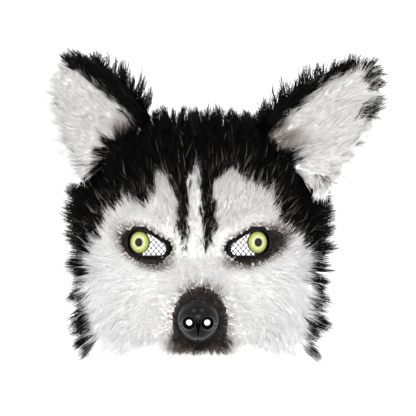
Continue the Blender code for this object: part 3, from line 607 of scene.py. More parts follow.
def without_corners(kept):
    """Fill cells so that no two kept ones meet at a corner only."""
    for _ in range(4):
        a, b, c, d = kept[:-1, :-1], kept[1:, 1:], kept[1:, :-1], kept[:-1, 1:]
        falling = a & b & ~c & ~d
        rising = c & d & ~a & ~b
        kept[1:, :-1] |= falling
        kept[:-1, :-1] |= rising
    return kept


def eye_axis(points):
    """Distance in the front view from the nearest eye opening's edge, and the way from it."""
    x = np.abs(points[..., 0])
    z = points[..., 2]
    ax, az = EYE_OFFSET, EYE_HEIGHT
    bx, bz = EYE_OFFSET - CORNER_REACH * math.cos(EYE_YAW), EYE_HEIGHT - CORNER_DROP
    along = ((x - ax) * (bx - ax) + (z - az) * (bz - az)) / ((bx - ax) ** 2 + (bz - az) ** 2)
    t = np.clip(along, 0, 1)
    dx, dz = x - (ax + (bx - ax) * t), z - (az + (bz - az) * t)
    large = IRIS_RADIUS + EYE_CRESCENT
    radius = large + (CORNER_RADIUS - large) * t + SOCKET_WALL
    reach = np.hypot(dx, dz)
    way = np.stack((np.copysign(dx, dx * points[..., 0]), np.zeros_like(dx), dz), -1)
    return reach - radius, unit(way)


def nose_reach(points):
    """Distance in the front view from the nose's middle, in its half widths."""
    return np.hypot(points[..., 0] / NOSE_HALF_WIDTH, (points[..., 2] + NOSE_DROP) / NOSE_HALF_HEIGHT)


def patch_depth(points, jitter):
    """How deep a place lies in a dark patch of the face: 1 inside and 0 outside."""
    px, py = seen(points)
    depth = np.zeros(px.shape)
    for x, y, long, wide, tilt in EYE_PATCHES:
        dx, dy = px - x, py - y
        u = (dx * math.cos(tilt) + dy * math.sin(tilt)) / long
        v = (-dx * math.sin(tilt) + dy * math.cos(tilt)) / wide
        depth = np.maximum(depth, 1 - smooth(0.74, 1.16, np.hypot(u, v) + jitter))
    edge = eye_axis(points)[0]
    return np.maximum(depth, 1 - smooth(0.0016, 0.0046, edge + 0.004 * jitter))


def muzzle_depth(points, jitter):
    px, py = seen(points)
    x, y, wide, high = MUZZLE_PATCH
    reach = np.hypot((px - x) / wide, (py - y) / high)
    below = np.abs(px - x) / wide
    reach = np.where(py > y, below, reach)
    return 1 - smooth(0.84, 1.14, reach + jitter)


def darkness(lines, jitter):
    """How deep each ring of each hair lies in the dark fur round the eyes and the nose."""
    depths = [np.maximum(patch_depth(line, jitter), muzzle_depth(line, jitter)) for line in lines]
    return np.stack(depths, -1)


def flow(points, normals):
    """The way the hair lies: away from the nose, down on the cheeks, away from the eyes."""
    x, z = points[:, 0], points[:, 2]
    away = unit(np.stack((x, np.zeros_like(x), z + SNOUT_DROP), -1))
    near_nose = 1 - smooth(1.2, 3.4, nose_reach(points))
    fall = 0.75 * smooth(0.015, -0.045, z) * (1 - near_nose)
    away[:, 2] -= fall + 0.5 * smooth(-0.060, -0.078, z)
    away[:, 1] += 0.15 * smooth(0.035, 0.075, np.abs(x))
    edge, from_eye = eye_axis(points)
    near_eye = np.exp(-(np.maximum(edge, 0) / 0.011) ** 2)[:, None]
    way = away * (1 - near_eye) + from_eye * near_eye
    return unit(way - normals * dot(way, normals))


def grown(points, normals, ways, lengths, lifts, lock, locks, bend, pull):
    """The lines of hairs that rise from their roots and lie over towards their tips."""
    count = len(points)
    turn = locks["turn"][lock] + rng.normal(0, 0.13, count)
    side = np.cross(normals, ways)
    heading = ways * np.cos(turn)[:, None] + side * np.sin(turn)[:, None]
    rise = lifts * (1 + locks["lift"][lock]) * rng.uniform(0.8, 1.2, count)
    later = bend * rise
    size = (lengths * (1 + locks["length"][lock]) * rng.uniform(0.72, 1.12, count))[:, None]
    first = heading * np.cos(rise)[:, None] + normals * np.sin(rise)[:, None]
    last = heading * np.cos(later)[:, None] + normals * np.sin(later)[:, None]
    middle = points + first * size * 0.5
    tip = middle + last * size * 0.5
    lines = [points.copy(), middle, tip]
    return gather(lines, lock, np.minimum(pull * locks["pull"][lock] * rng.uniform(0.4, 1.4, count), 0.97))


def lock_traits(count):
    return {
        "turn": rng.normal(0, 0.26, count),
        "lift": rng.normal(0, 0.16, count),
        "length": rng.normal(0, 0.13, count),
        "tone": rng.normal(0, 1.0, count),
        "pull": rng.uniform(0.45, 1.35, count),
    }


BLACK_STOPS = ((0.0, "#020202"), (0.45, "#040404"), (0.75, "#1a1918"), (1.0, "#7a7571"))
WHITE_STOPS = (
    (0.0, "#090706"), (0.28, "#1f1815"), (0.50, "#7d6b61"), (0.68, "#d3d0cc"),
    (0.84, "#f9f8f7"), (1.0, "#ffffff"),
)
MUZZLE_STOPS = (
    (0.0, "#0b0908"), (0.30, "#2a241f"), (0.52, "#776a61"), (0.68, "#d0c8c0"),
    (0.84, "#f9f8f7"), (1.0, "#ffffff"),
)

# Black pile keeps a faint gloss. White pile is soft and bright, and the short plush is duller.
black_pile = pile_material("black_acrylic_fur", BLACK_STOPS, "#8a8a8a", 0.50, 0.05, 0.0)
white_pile = pile_material("white_acrylic_fur", WHITE_STOPS, "#fcfcfb", 0.70, 0.2, 0.6)
muzzle_pile = pile_material("muzzle_plush", MUZZLE_STOPS, "#f6f5f4", 0.70, 0.12, 0.6)
black_roots = backing_material("black_fur_backing", "#030303", "#090909")
# The white backing is painted grey: painted shade for bare spots between the roots
white_roots_painted_shade = backing_material("white_fur_backing_painted_shade", "#c4c2bf", "#d6d4d1")
dark_roots = backing_material("dark_plush_backing", "#120f0d", "#201a17")


COLUMNS, ROWS = 150, 120


def coat_cells():
    """Which cells of the form lie under which coat."""
    u = (np.arange(COLUMNS) + 0.5) / COLUMNS * 2 - 1
    v = (np.arange(ROWS) + 0.5) / ROWS * 2 - 1
    across, share = np.meshgrid(u, v, indexing="ij")
    points = face_form(across, share)
    px, py = seen(points)
    open_eye = eye_axis(points)[0] < 0.0004
    under_nose = nose_reach(points) < 1.0
    white = inside(WHITE_EDGE, px, py) & (np.abs(across) < RIM_EDGE)
    solid = ~open_eye & ~under_nose
    dark = patch_depth(points, 0) > 0.99
    muzzle = muzzle_depth(points, 0) > 0.99
    return {
        "crown": solid & ~white & (share >= 0),
        "fringe_left": solid & ~white & (share < 0) & (across < 0),
        "fringe_right": solid & ~white & (share < 0) & (across > 0),
        "muzzle": solid & white & muzzle,
        "patches": solid & white & dark & ~muzzle,
        "face": solid & white & ~muzzle & ~dark,
    }


def backing(name, mat, kept, height):
    def place(u, v, layer):
        across, share = u * 2 - 1, v * 2 - 1
        point = face_form(across, share)
        return point + face_normal(across, share) * np.where(layer, height, GAP)[:, None]
    return bent_slab(name, mat, COLUMNS, ROWS, place, without_corners(kept.copy()))


def at_columns(px, columns):
    """1 near any of the photo's columns, and 0 away from them."""
    return sum(np.exp(-(((px - x) / wide) ** 2)) for x, wide in columns)


def snout_fold(x, z):
    """1 where the snout's top meets the brow, whose hair has to rise to clear the brow."""
    return smooth(0.034, 0.018, np.abs(x)) * np.exp(-(((z + 0.020) / 0.012) ** 2))


def painted_brow_shade(x, z):
    """Painted shade: how much greyer the white pile is painted on the bridge and over the brows."""
    bridge = 0.35 * smooth(0.030, 0.012, np.abs(x)) * smooth(-0.045, -0.022, z)
    return BROW_PAINTED_SHADE * np.maximum(smooth(-0.010, 0.020, z), bridge)


def coat_of_face():
    """All hair that grows on the form, sorted into pieces by its colour and place."""
    total = FACE_HAIRS

    def long_weight(u, v):
        points = face_form(u, v)
        edge = eye_axis(points)[0]
        reach = nose_reach(points)
        open_skin = (edge > 0.001) & (reach > 1.05)
        rim = 1 + 2.2 * (np.abs(u) > 0.90) * (v < 0.5) + 1.4 * smooth(0.80, 0.92, v) + 0.8 * (v < -0.9)
        thin = (0.25 + 0.75 * smooth(0.0, 0.016, edge)) * (0.15 + 0.85 * smooth(1.6, 3.0, reach))
        return open_skin * thin * rim

    u, v = strewn(face_form, total, (-0.995, -0.995), (0.995, 0.995), long_weight)
    roots, normals = face_form(u, v), face_normal(u, v)
    cu, cv = strewn(face_form, FACE_LOCKS, (-1, -1), (1, 1))
    centres = face_form(cu, cv)
    traits = lock_traits(len(centres))
    lock = nearest_lock(roots, centres)
    ways = flow(roots, normals)
    edge = eye_axis(roots)[0]
    reach = nose_reach(roots)
    x, z = np.abs(roots[:, 0]), roots[:, 2]

    # The pile is longer at the temples, along the rim and over the crown
    pale = WHITE_LENGTH + 0.004 * smooth(0.03, 0.07, x)
    at_rim = smooth(0.76, 0.93, np.abs(u)) * smooth(0.75, 0.40, v)
    pale = pale + 0.0035 * at_rim
    deep = BLACK_LENGTH + 0.0095 * at_rim + 0.0060 * smooth(0.70, 1.0, v)
    middle = roots + ways * (pale * 0.45)[:, None]
    px, py = seen(middle)
    wander = traits["tone"][lock] * 1.3 + rng.normal(0, 1.0, len(u))
    white = inside(WHITE_EDGE, px + wander, py + rng.normal(0, 1.2, len(u)))
    white &= np.abs(u) + 0.012 * traits["tone"][lock] + rng.normal(0, 0.012, len(u)) < RIM_EDGE

    # It is clipped short round the eyes, the nose and the bridge
    full = np.where(white, pale, deep)
    short = EYE_SIDE_LENGTH + (full - EYE_SIDE_LENGTH) * smooth(0.0, 0.024, edge)
    lengths = NOSE_SIDE_LENGTH + (short - NOSE_SIDE_LENGTH) * smooth(1.3, 4.0, reach)
    lengths = np.minimum(lengths, short)
    bridge = smooth(0.022, 0.006, x) * smooth(0.075, 0.03, z)
    lengths = lengths * (1 - 0.35 * bridge)
    low_edge = smooth(-0.78, -0.94, v)
    lengths = lengths * (1 + (0.45 * at_columns(px, LOBES) - 0.85 * at_columns(px, NOTCHES)) * low_edge)

    # It stands up at the rim and the crown, in the fold over the snout and at the lower edge
    lifts = np.where(white, 0.42, 0.58) * (0.55 + 0.45 * smooth(0.0, 0.02, edge))
    lifts = lifts * (0.6 + 0.4 * smooth(1.2, 3.5, reach))
    lifts = lifts + np.where(white, 0.62, 0.75) * at_rim + np.where(white, 0.0, 0.35) * smooth(0.80, 1.0, v)
    lifts = lifts + 0.50 * snout_fold(x, z)
    under = smooth(-0.86, -0.97, v) * smooth(0.050, 0.040, x)
    lifts = lifts + 0.45 * under
    bend = 0.45 + 0.45 * np.maximum(at_rim, under)
    pull = np.where(white, 0.25, 0.52)
    traits["turn"] = traits["turn"] * np.where(np.bincount(lock, white, len(centres)) > 0, 0.6, 1.0)
    lines = grown(roots + normals * 0.001, normals, ways, lengths, lifts, lock, traits, bend, pull)

    jitter = rng.normal(0, 0.08, len(u))
    dark = darkness(lines, jitter)
    # Painted shade greys the white pile over the brows and on the bridge
    tone_white = WHITE_TONE - painted_brow_shade(x, z) + 0.012 * traits["tone"][lock]
    tone_white = (tone_white + rng.normal(0, 0.02, len(u)))[:, None]
    tone_white = tone_white * (1 - 0.90 * dark)
    tone_black = BLACK_TONE + 0.10 * traits["tone"][lock] + rng.normal(0, 0.10, len(u))
    # A few pale wisps, more of them next to the white fur
    wisps = 0.03 + 0.22 * smooth(14, 3, edge_distance(WHITE_EDGE, px, py)) * (v > 0)
    tone_black = tone_black + (rng.random(len(u)) < wisps) * rng.uniform(0.3, 0.65, len(u))
    radius = np.where(white, WHITE_RADIUS, BLACK_RADIUS) * (0.6 + 0.4 * smooth(0.004, 0.016, lengths))

    above = v >= FRINGE_TOP
    groups = (
        ("crown_fur_pile_{}", ~white & above, black_pile, tone_black, "black_fur", "crown_fur"),
        ("side_fringe_pile_{}", ~white & ~above, black_pile, tone_black, "black_fur", "side_fringe_{}"),
        ("face_fur_pile_{}", white, white_pile, tone_white, "white_fur", "face_fur"),
    )
    for name, kind, mat, tone, slot, node in groups:
        for side, half in (("left", u < 0), ("right", u >= 0)):
            chosen = kind & half
            picked = [line[chosen] for line in lines]
            ob = hair_mesh(name.format(side), picked, normals[chosen], radius[chosen], tone[chosen], mat)
            settle(ob, slot, node.format(side))


def short_coat():
    """Plush round the eyes and on the muzzle."""
    def weight_eyes(u, v):
        edge = eye_axis(face_form(u, v))[0]
        return (edge > 0.0002) * smooth(0.020, 0.008, edge)

    def weight_muzzle(u, v):
        reach = nose_reach(face_form(u, v))
        return (reach > 1.0) * smooth(3.6, 1.4, reach) * (1 + 0.8 * (v < -0.9))

    table = (
        # name, place, weight, lift, material, slot, replaced nodes
        ("eye_patch_pile", "eye", weight_eyes, 0.55, white_pile, "white_fur", ()),
        ("muzzle_fur_pile", "muzzle", weight_muzzle, 0.42, muzzle_pile, "grey_fur", ("muzzle_fur",)),
    )
    for name, where, weight, lift, mat, slot, nodes in table:
        total, length = PLUSH_HAIRS[where], PLUSH_LENGTHS[where]
        u, v = strewn(face_form, total // (1), (-0.9, -0.999), (0.9, 0.6), weight)
        roots, normals = face_form(u, v), face_normal(u, v)
        cu, cv = strewn(face_form, PLUSH_LOCKS, (-0.9, -0.999), (0.9, 0.6), weight)
        traits = lock_traits(len(cu))
        lock = nearest_lock(roots, face_form(cu, cv))
        ways = flow(roots, normals)
        lengths = np.full(len(u), length)
        if where == "muzzle":
            reach = nose_reach(roots)
            lengths = length * (0.75 + 0.45 * smooth(1.1, 2.0, reach) - 0.65 * smooth(2.2, 3.4, reach))
            lift = lift * (1 - 0.6 * smooth(1.9, 3.2, reach))
        under = smooth(-0.84, -0.97, v)
        lifts = lift + 0.50 * under + 0.50 * snout_fold(roots[:, 0], roots[:, 2])
        lengths = lengths * (1 + 0.75 * under)
        bend = 0.45 + 0.50 * under
        traits["turn"] = traits["turn"] * 0.7
        lengths = lengths * (1 - 0.7 * at_columns(seen(roots)[0], NOTCHES) * smooth(-0.75, -0.95, v))
        lines = grown(roots + normals * 0.0008, normals, ways, lengths, lifts, lock, traits, bend, 0.15)
        ends = [lines[0], lines[2]]
        jitter = rng.normal(0, 0.08, len(u))
        depth = darkness(ends, jitter)
        # Some hairs of the dark plush are paler
        grizzle = np.where(rng.random(len(u)) < 0.12, 0.25, 0.0)
        # Painted shade greys the plush on the bridge
        shade = painted_brow_shade(roots[:, 0], roots[:, 2])
        tone = PLUSH_TONE - shade + 0.01 * traits["tone"][lock] + rng.normal(0, 0.02, len(u))
        tone = (tone + grizzle * depth[:, 0])[:, None] - (DARK_PLUSH - shade)[:, None] * depth
        ob = hair_mesh(name, ends, normals, np.full(len(u), WHITE_RADIUS), tone, mat)
        settle(ob, slot, *nodes)


def ear_form(side, across, along):
    half = EAR_HALF_WIDTH * through(EAR_SECTIONS, 1, along)
    back = -EAR_CUP * (across * half / EAR_HALF_WIDTH) ** 2
    return np.stack((side * half * across, back, along * EAR_LENGTH), -1)


def ear_normal(side, across, along):
    step = 0.004
    u = ear_form(side, across + step, along) - ear_form(side, across - step, along)
    v = ear_form(side, across, np.minimum(along + step, 1)) - ear_form(side, across, along - step)
    return unit(np.cross(u, v)) * side


def ear_depth(across, along):
    """The back's wall, which thins out at the ear's edges."""
    edge = np.maximum(np.abs(across), smooth(0.7, 1.0, along))
    return EAR_WALL * np.clip(1 - edge ** 8, 0.06, 1)


def ear_frame(pose):
    side, across, height, roll, lean, turn = pose[1:]
    base = Vector((side * across * FACE_HALF_WIDTH, EAR_SETBACK, height * FACE_TOP))
    return (
        Matrix.Translation(base)
        @ Matrix.Rotation(side * roll, 4, "Y")
        @ Matrix.Rotation(-lean, 4, "X")
        @ Matrix.Rotation(side * turn, 4, "Z")
    )


def moved(points, frame_matrix):
    m = np.array(frame_matrix)
    return points @ m[:3, :3].T + m[:3, 3]


def ear_skin(pose, name, mat, low, high, front):
    side = pose[1]
    placed = ear_frame(pose)

    def place(u, v, layer):
        along = low[1] + (high[1] - low[1]) * v
        across = low[0] + (high[0] - low[0]) * u
        if front:
            across = np.where(across > 0, across * (1 - 0.45 * smooth(0.14, -0.02, along)), across)
        depth = ear_depth(across, along)
        heights = depth + GAP + INNER_WALL * layer if front else depth * layer
        point = ear_form(side, across, along)
        return moved(point + ear_normal(side, across, along) * heights[:, None], placed)

    return bent_slab(name, mat, 28, 40, place)


def ear_coat(pose, facing, total):
    """Hair on one face of an ear, sorted into its black and its white piece."""
    name, side = pose[0], pose[1]
    placed = ear_frame(pose)
    turned = np.array(placed)[:3, :3].T
    total = total // 1
    low, high = (-1.0, -0.06 if facing > 0 else 0.0), (1.0, 0.995)

    def form(u, v):
        return ear_form(side, u, v)

    def weight(u, v):
        return 1 + 1.2 * smooth(0.80, 0.95, np.abs(u)) + 0.8 * smooth(0.85, 0.95, v)

    u, v = strewn(form, total, low, high, weight)
    forward = ear_normal(side, u, v)
    normals = forward * facing
    height = (ear_depth(u, v) + np.where(u > EAR_BAND, GAP + INNER_WALL, 0)) * (facing > 0)
    # At the edges it grows from the whole wall
    height = height * (1 - smooth(0.92, 0.98, np.abs(u)) * rng.random(len(u)))
    local = ear_form(side, u, v) + forward * height[:, None]
    # The hair runs to the tip and fans out to both edges. Along the outer edge of the back it
    # turns in and lies flat.
    heading = 0.30 + 0.85 * u if facing < 0 else 0.28 + 0.72 * u
    heading = heading - smooth(-0.35, -0.75, u) * (0.15 - 0.40 * smooth(0.15, 0.7, v))
    heading = heading + 1.3 * smooth(0.16, -0.04, v) * smooth(0.0, 0.6, u) * (facing > 0)
    held = smooth(0.35, 0.70, u) * (facing < 0)
    heading = heading * (1 - held) - (0.10 + 0.40 * smooth(0.35, 0.85, v)) * held
    way = np.stack((side * np.sin(heading), np.zeros(len(u)), np.cos(heading)), -1)
    way = unit(way - normals * dot(way, normals))
    cu, cv = strewn(form, EAR_LOCKS, low, high, weight)
    lock = nearest_lock(local, ear_form(side, cu, cv))
    traits = lock_traits(lock.max() + 1)
    traits["length"] = np.clip(traits["length"] * 1.8, -0.45, 0.30)
    world = moved(local + way * 0.005, placed)
    px, py = seen(world)
    wander = traits["tone"][lock] * 1.0 + rng.normal(0, 0.8, len(u))
    white = inside(WHITE_EARS[name], px + wander, py + wander) & (facing > 0)
    for tuft in EAR_TUFTS[name]:
        white &= ~(inside(tuft, px + wander, py + wander) & (rng.random(len(u)) < 0.6))
    lengths = np.where(white, WHITE_EAR_LENGTH, BLACK_EAR_LENGTH) * (1 - 0.30 * smooth(0.55, 1.0, v))
    # The outer edge is shaggy, most of all on the left ear
    outer = smooth(0.70, 0.95, u) * (0.35 if side < 0 else 0.1)
    lengths = lengths * (1 + 0.25 * smooth(0.75, 0.95, np.abs(u)) + np.where(white, outer, 0))
    lengths = lengths * (1 - 0.45 * held)
    lifts = np.where(white, 0.38, 0.50 * (1 - 0.7 * held))
    lifts = lifts + 0.25 * smooth(0.8, 0.95, np.abs(u)) * (1 - held)
    pull = np.where(white, 0.28, 0.46)
    lines = grown(local - normals * 0.0006, normals, way, lengths, lifts, lock, traits, 0.6, pull)
    tone_white = WHITE_EAR_TONE + 0.012 * traits["tone"][lock] + rng.normal(0, 0.02, len(u))
    # Painted shade in the crease at the root, and a painted shadow in the fold of the right ear
    crease = smooth(0.20, 0.02, v) * smooth(0.2, -0.5, u)
    fold = np.exp(-(((px - 307) / 13) ** 2) - ((py - 143) / 6) ** 2) * (side > 0)
    tone_white = tone_white - 0.30 * crease - 0.20 * fold * rng.random(len(u))
    tone_black = BLACK_TONE + 0.10 * traits["tone"][lock] + rng.normal(0, 0.10, len(u))
    tone_black = tone_black + (rng.random(len(u)) < 0.04) * 0.35
    lines = [moved(line, placed) for line in lines]
    radius = np.full(len(u), EAR_HAIR_RADIUS)
    return white, lines, normals @ turned, radius, np.where(white, tone_white, tone_black)


def joined(parts, chosen):
    """The hairs of several coats that one piece holds."""
    lines = [np.concatenate([p[1][k][c] for p, c in zip(parts, chosen)]) for k in range(3)]
    return lines, *(np.concatenate([p[i][c] for p, c in zip(parts, chosen)]) for i in (2, 3, 4))


def make_ears():
    for pose in EAR_POSES:
        name = pose[0]
        back = ear_skin(pose, f"ear_{name}_backing", black_roots, (-1, -0.03), (1, 1), False)
        settle(back, "black_fur")
        inner = ear_skin(pose, f"ear_inner_{name}_backing", white_roots_painted_shade, (EAR_BAND, -0.04), (1, 0.86), True)
        settle(inner, "white_fur")
        front = ear_coat(pose, 1, EAR_HAIRS["front"])
        behind = ear_coat(pose, -1, EAR_HAIRS["back"])
        pale = joined((front,), (front[0],))
        dark = joined((front, behind), (~front[0], ~behind[0]))
        settle(hair_mesh(f"ear_inner_{name}_pile", *pale, white_pile), "white_fur", f"ear_inner_{name}")
        settle(hair_mesh(f"ear_{name}_pile", *dark, black_pile), "black_fur", f"ear_{name}")


def make_backings():
    cells = coat_cells()
    table = (
        ("crown_fur_backing", "crown", black_roots, LONG_ROOTS, "black_fur"),
        ("side_fringe_backing_left", "fringe_left", black_roots, LONG_ROOTS, "black_fur"),
        ("side_fringe_backing_right", "fringe_right", black_roots, LONG_ROOTS, "black_fur"),
        ("face_fur_backing", "face", white_roots_painted_shade, WHITE_ROOTS, "white_fur"),
        ("eye_patch_backing", "patches", dark_roots, PLUSH_ROOTS, "white_fur"),
        ("muzzle_fur_backing", "muzzle", dark_roots, PLUSH_ROOTS, "grey_fur"),
    )
    for name, key, mat, height, slot in table:
        settle(backing(name, mat, cells[key], height), slot)


def eye_centre(side):
    share = np.array([EYE_HEIGHT / FACE_TOP])
    across = across_at(np.array([EYE_OFFSET]), share)
    x, y, z = face_form(across, share)[0]
    return Vector((side * x, y, z))


def eye_frame(side, height):
    out = Vector((side * math.sin(EYE_YAW), -math.cos(EYE_YAW), 0))
    across = Vector((math.cos(EYE_YAW), side * math.sin(EYE_YAW), 0))
    placed = Matrix((across, Vector((0, 0, 1)), out)).transposed().to_4x4()
    placed.translation = eye_centre(side) + out * height
    return placed


def drop_outline(side, growth, arcs=(40, 16)):
    """The eye opening's outline: a large arc round the iris and a small one at the corner."""
    large = IRIS_RADIUS + EYE_CRESCENT + growth
    small = CORNER_RADIUS + growth
    corner = Vector((CORNER_REACH, -CORNER_DROP))
    bearing = math.atan2(corner.y, corner.x)
    spread = math.acos((large - small) / corner.length)
    points = []
    for i in range(arcs[0] + 1):
        angle = bearing + spread + (2 * math.pi - 2 * spread) * i / arcs[0]
        points.append((large * math.cos(angle), large * math.sin(angle)))
    for i in range(arcs[1] + 1):
        angle = bearing - spread + 2 * spread * i / arcs[1]
        points.append((corner.x + small * math.cos(angle), corner.y + small * math.sin(angle)))
    return [(-side * x, y) for x, y in points]


def gloss_material(name, low, high, roughness, gloss, pitch, strength):
    """Moulded black plastic or thread: a sheen that a fine grain breaks up."""
    bump = (strength, 0.0002)
    return mottled_material(name, low, high, roughness, gloss, pitch, bump, BROAD_GRAIN, (0.85, 1.2))


# Vacuum formed plastic has a broad dull sheen, the polished rims and the satin nose have small
# soft highlights, and nylon net thread is dull.
shell_plastic = gloss_material("moulded_black_plastic", "#09090a", "#0f0f11", 0.45, 0.25, SHELL_GRAIN, 0.35)
socket_plastic = gloss_material("glossy_black_plastic", "#020202", "#050505", 0.25, 0.10, SHELL_GRAIN, 0.06)
nose_plastic = gloss_material("satin_nose_plastic", "#020203", "#050608", 0.22, 0.11, NOSE_GRAIN, 0.05)
net_thread = gloss_material("black_net_thread", "#050505", "#0c0c0c", 0.60, 0.2, THREAD_GRAIN, 0.5)


def iris_material():
    """Ink on a clear domed disc: a black pupil in a cream ring, and a rim with fine rays."""
    mat, tree, shader = new_material("printed_iris")
    where = add(tree, "ShaderNodeUVMap", {"uv_map": "OFBake"}).outputs["UV"]
    centred = add(
        tree, "ShaderNodeMapping", None, {"Vector": where, "Location": (-1, -1, 0), "Scale": (2, 2, 1)},
    ).outputs["Vector"]
    reach = add(tree, "ShaderNodeVectorMath", {"operation": "LENGTH"}, {0: centred}).outputs["Value"]
    parts = add(tree, "ShaderNodeSeparateXYZ", None, {"Vector": centred})
    turn = {0: parts.outputs["Y"], 1: parts.outputs["X"]}
    angle = add(tree, "ShaderNodeMath", {"operation": "ARCTAN2"}, turn).outputs["Value"]
    polar = add(tree, "ShaderNodeCombineXYZ", None, {"X": angle, "Y": reach}).outputs["Vector"]
    spread = add(tree, "ShaderNodeMapping", None, {"Vector": polar, "Scale": IRIS_RAYS}).outputs["Vector"]
    rays = add(tree, "ShaderNodeTexNoise", None, {"Vector": spread, "Scale": 1.0, "Detail": 3.0})
    rays = rays.outputs["Fac"]
    ragged = add(tree, "ShaderNodeMath", {"operation": "MULTIPLY_ADD"}, {0: rays, 1: 0.14, 2: reach})
    rings = add(tree, "ShaderNodeValToRGB", None, {"Fac": ragged.outputs["Value"]}, (
        (0.0, "#060606"), (0.43, "#080706"), (0.49, "#a5a28c"), (0.66, "#a9ab82"),
        (0.76, "#919850"), (0.99, "#757d3c"), (1.0, "#34371f"),
    ))
    streaks = add(tree, "ShaderNodeValToRGB", None, {"Fac": rays}, ((0.35, "#c4c8a0"), (0.62, "#ffffff")))
    mix = {"Factor": 0.8, "A": rings.outputs["Color"], "B": streaks.outputs["Color"]}
    print_ink = add(tree, "ShaderNodeMix", MULTIPLY, mix)
    tree.links.new(print_ink.outputs["Result"], shader.inputs["Base Color"])
    shader.inputs["Roughness"].default_value = 0.22
    shader.inputs["Specular IOR Level"].default_value = 0.15
    return mat


iris_print = iris_material()


def make_eye(name, side):
    placed = eye_frame(side, 0)

    # The rim: its inner wall, a rounded lip and its outer wall, as (growth, height) steps
    profile = [(0.0, -0.0027), (0.0, RIM_HEIGHT)]
    for i in range(1, 8):
        angle = math.pi * (1 - i / 8)
        half = SOCKET_WALL / 2
        profile.append((half + half * math.cos(angle), RIM_HEIGHT + half * math.sin(angle)))
    profile += [(SOCKET_WALL, RIM_HEIGHT), (SOCKET_WALL, -0.0027)]
    loops = []
    for growth, height in profile + profile[:1]:
        loops.append([placed @ Vector((x, y, height)) for x, y in drop_outline(side, growth)])
    bm = bmesh.new()
    sleeve(bm, loops)
    rim = from_bmesh(bm, f"eye_socket_{name}_rim", socket_plastic)
    settle(rim, "shell_plastic", f"eye_socket_{name}")

    # The floor beside the iris, on the side of the temple
    floor_low, floor_high = IRIS_RADIUS - 0.0012, IRIS_RADIUS + EYE_CRESCENT
    bearing = math.atan2(-CORNER_DROP, CORNER_REACH)
    start, end = bearing + math.radians(62), bearing + math.radians(298)

    def place(u, v, layer):
        angle = start + (end - start) * u
        radius = floor_low + (floor_high - floor_low) * v
        height = np.where(layer, 0.0011, 0.0006)
        local = np.stack((-side * radius * np.cos(angle), radius * np.sin(angle), height), -1)
        return moved(local, placed)

    crescent = bent_slab(f"eye_crescent_{name}", socket_plastic, 48, 3, place)
    settle(crescent, "shell_plastic")

    # The net: two families of crossing threads, cut off at the rim
    bm = bmesh.new()
    outline = np.array(drop_outline(side, 0.0003, (80, 30)))
    for slope in (-1, 1):
        direction = np.array((1.0, slope)) / math.sqrt(2)
        sideways = np.array((-direction[1], direction[0]))
        for i in range(-12, 13):
            samples = np.linspace(-0.05, 0.05, 801)
            line = direction * samples[:, None] + sideways * (i * NET_PITCH)
            within = inside(outline, line[:, 0], line[:, 1])
            if within.sum() < 12:
                continue
            runs = line[np.flatnonzero(within)[[0, -1]]]
            thread(bm, runs, slope, i, placed)
    settle(from_bmesh(bm, f"eye_net_{name}_threads", net_thread), "net_black", f"eye_net_{name}")

    # The printed disc, a little domed
    turns = 2 * math.pi * np.arange(DISC_SIDES) / DISC_SIDES
    circle = np.stack((np.cos(turns), np.sin(turns)), -1) * DISC_RADIUS
    loops = [np.column_stack((circle * share, np.full(DISC_SIDES, height))) for share, height in DISC_DOME]
    bm = bmesh.new()
    sleeve(bm, capped(loops))
    uv = bm.loops.layers.uv.new("OFBake")
    for face in bm.faces:
        # The plain back takes the pupil's black
        reach = 0.08 if max(vert.co.z for vert in face.verts) < 0.0002 else 0.49
        for loop in face.loops:
            co = loop.vert.co
            shrink = reach * (0.94 + 0.06 * (co.z > 0.0005)) / DISC_RADIUS
            loop[uv].uv = (0.5 + shrink * co.x, 0.5 + shrink * co.y)
    bm.transform(eye_frame(side, 0.0008))
    settle(from_bmesh(bm, f"eye_{name}_disc", iris_print), "iris_print", f"eye_{name}")


def thread(bm, run, slope, number, placed):
    """One flat thread that passes over and under the ones it crosses."""
    length = float(np.linalg.norm(run[1] - run[0]))
    steps = max(4, int(length / (NET_PITCH / 4)))
    along = (run[1] - run[0]) / length
    sideways = np.array((-along[1], along[0]))
    turns = 2 * math.pi * np.arange(6) / 6
    loops = []
    for k in range(steps + 1):
        at = run[0] + along * length * k / steps
        phase = np.dot(at, along) / NET_PITCH + number
        lift = slope * NET_LIFT * math.cos(math.pi * phase)
        flat = at + sideways * (0.55 * NET_THREAD * np.cos(turns))[:, None]
        loops.append(moved(np.column_stack((flat, lift + NET_LIFT * np.sin(turns))), placed))
    sleeve(bm, capped(loops))


def cut_with(ob, cutter_bm):
    """Apply one exact difference."""
    mesh = bpy.data.meshes.new("cutter")
    cutter_bm.to_mesh(mesh)
    cutter_bm.free()
    cutter = bpy.data.objects.new("cutter", mesh)
    bpy.context.scene.collection.objects.link(cutter)
    boolean = ob.modifiers.new("hole", "BOOLEAN")
    boolean.operation = "DIFFERENCE"
    boolean.solver = "EXACT"
    boolean.object = cutter
    bpy.context.view_layer.update()
    made = bpy.data.meshes.new_from_object(ob.evaluated_get(bpy.context.evaluated_depsgraph_get()))
    ob.modifiers.clear()
    old, ob.data = ob.data, made
    bpy.data.meshes.remove(old)
    bpy.data.objects.remove(cutter)
    bpy.data.meshes.remove(mesh)


def drilled(radius, depth, where, segments=40):
    bm = bmesh.new()
    bmesh.ops.create_cone(
        bm, cap_ends=True, segments=segments, radius1=radius, radius2=radius, depth=depth,
        matrix=where @ Matrix.Rotation(math.pi / 2, 4, "X"),
    )
    return bm


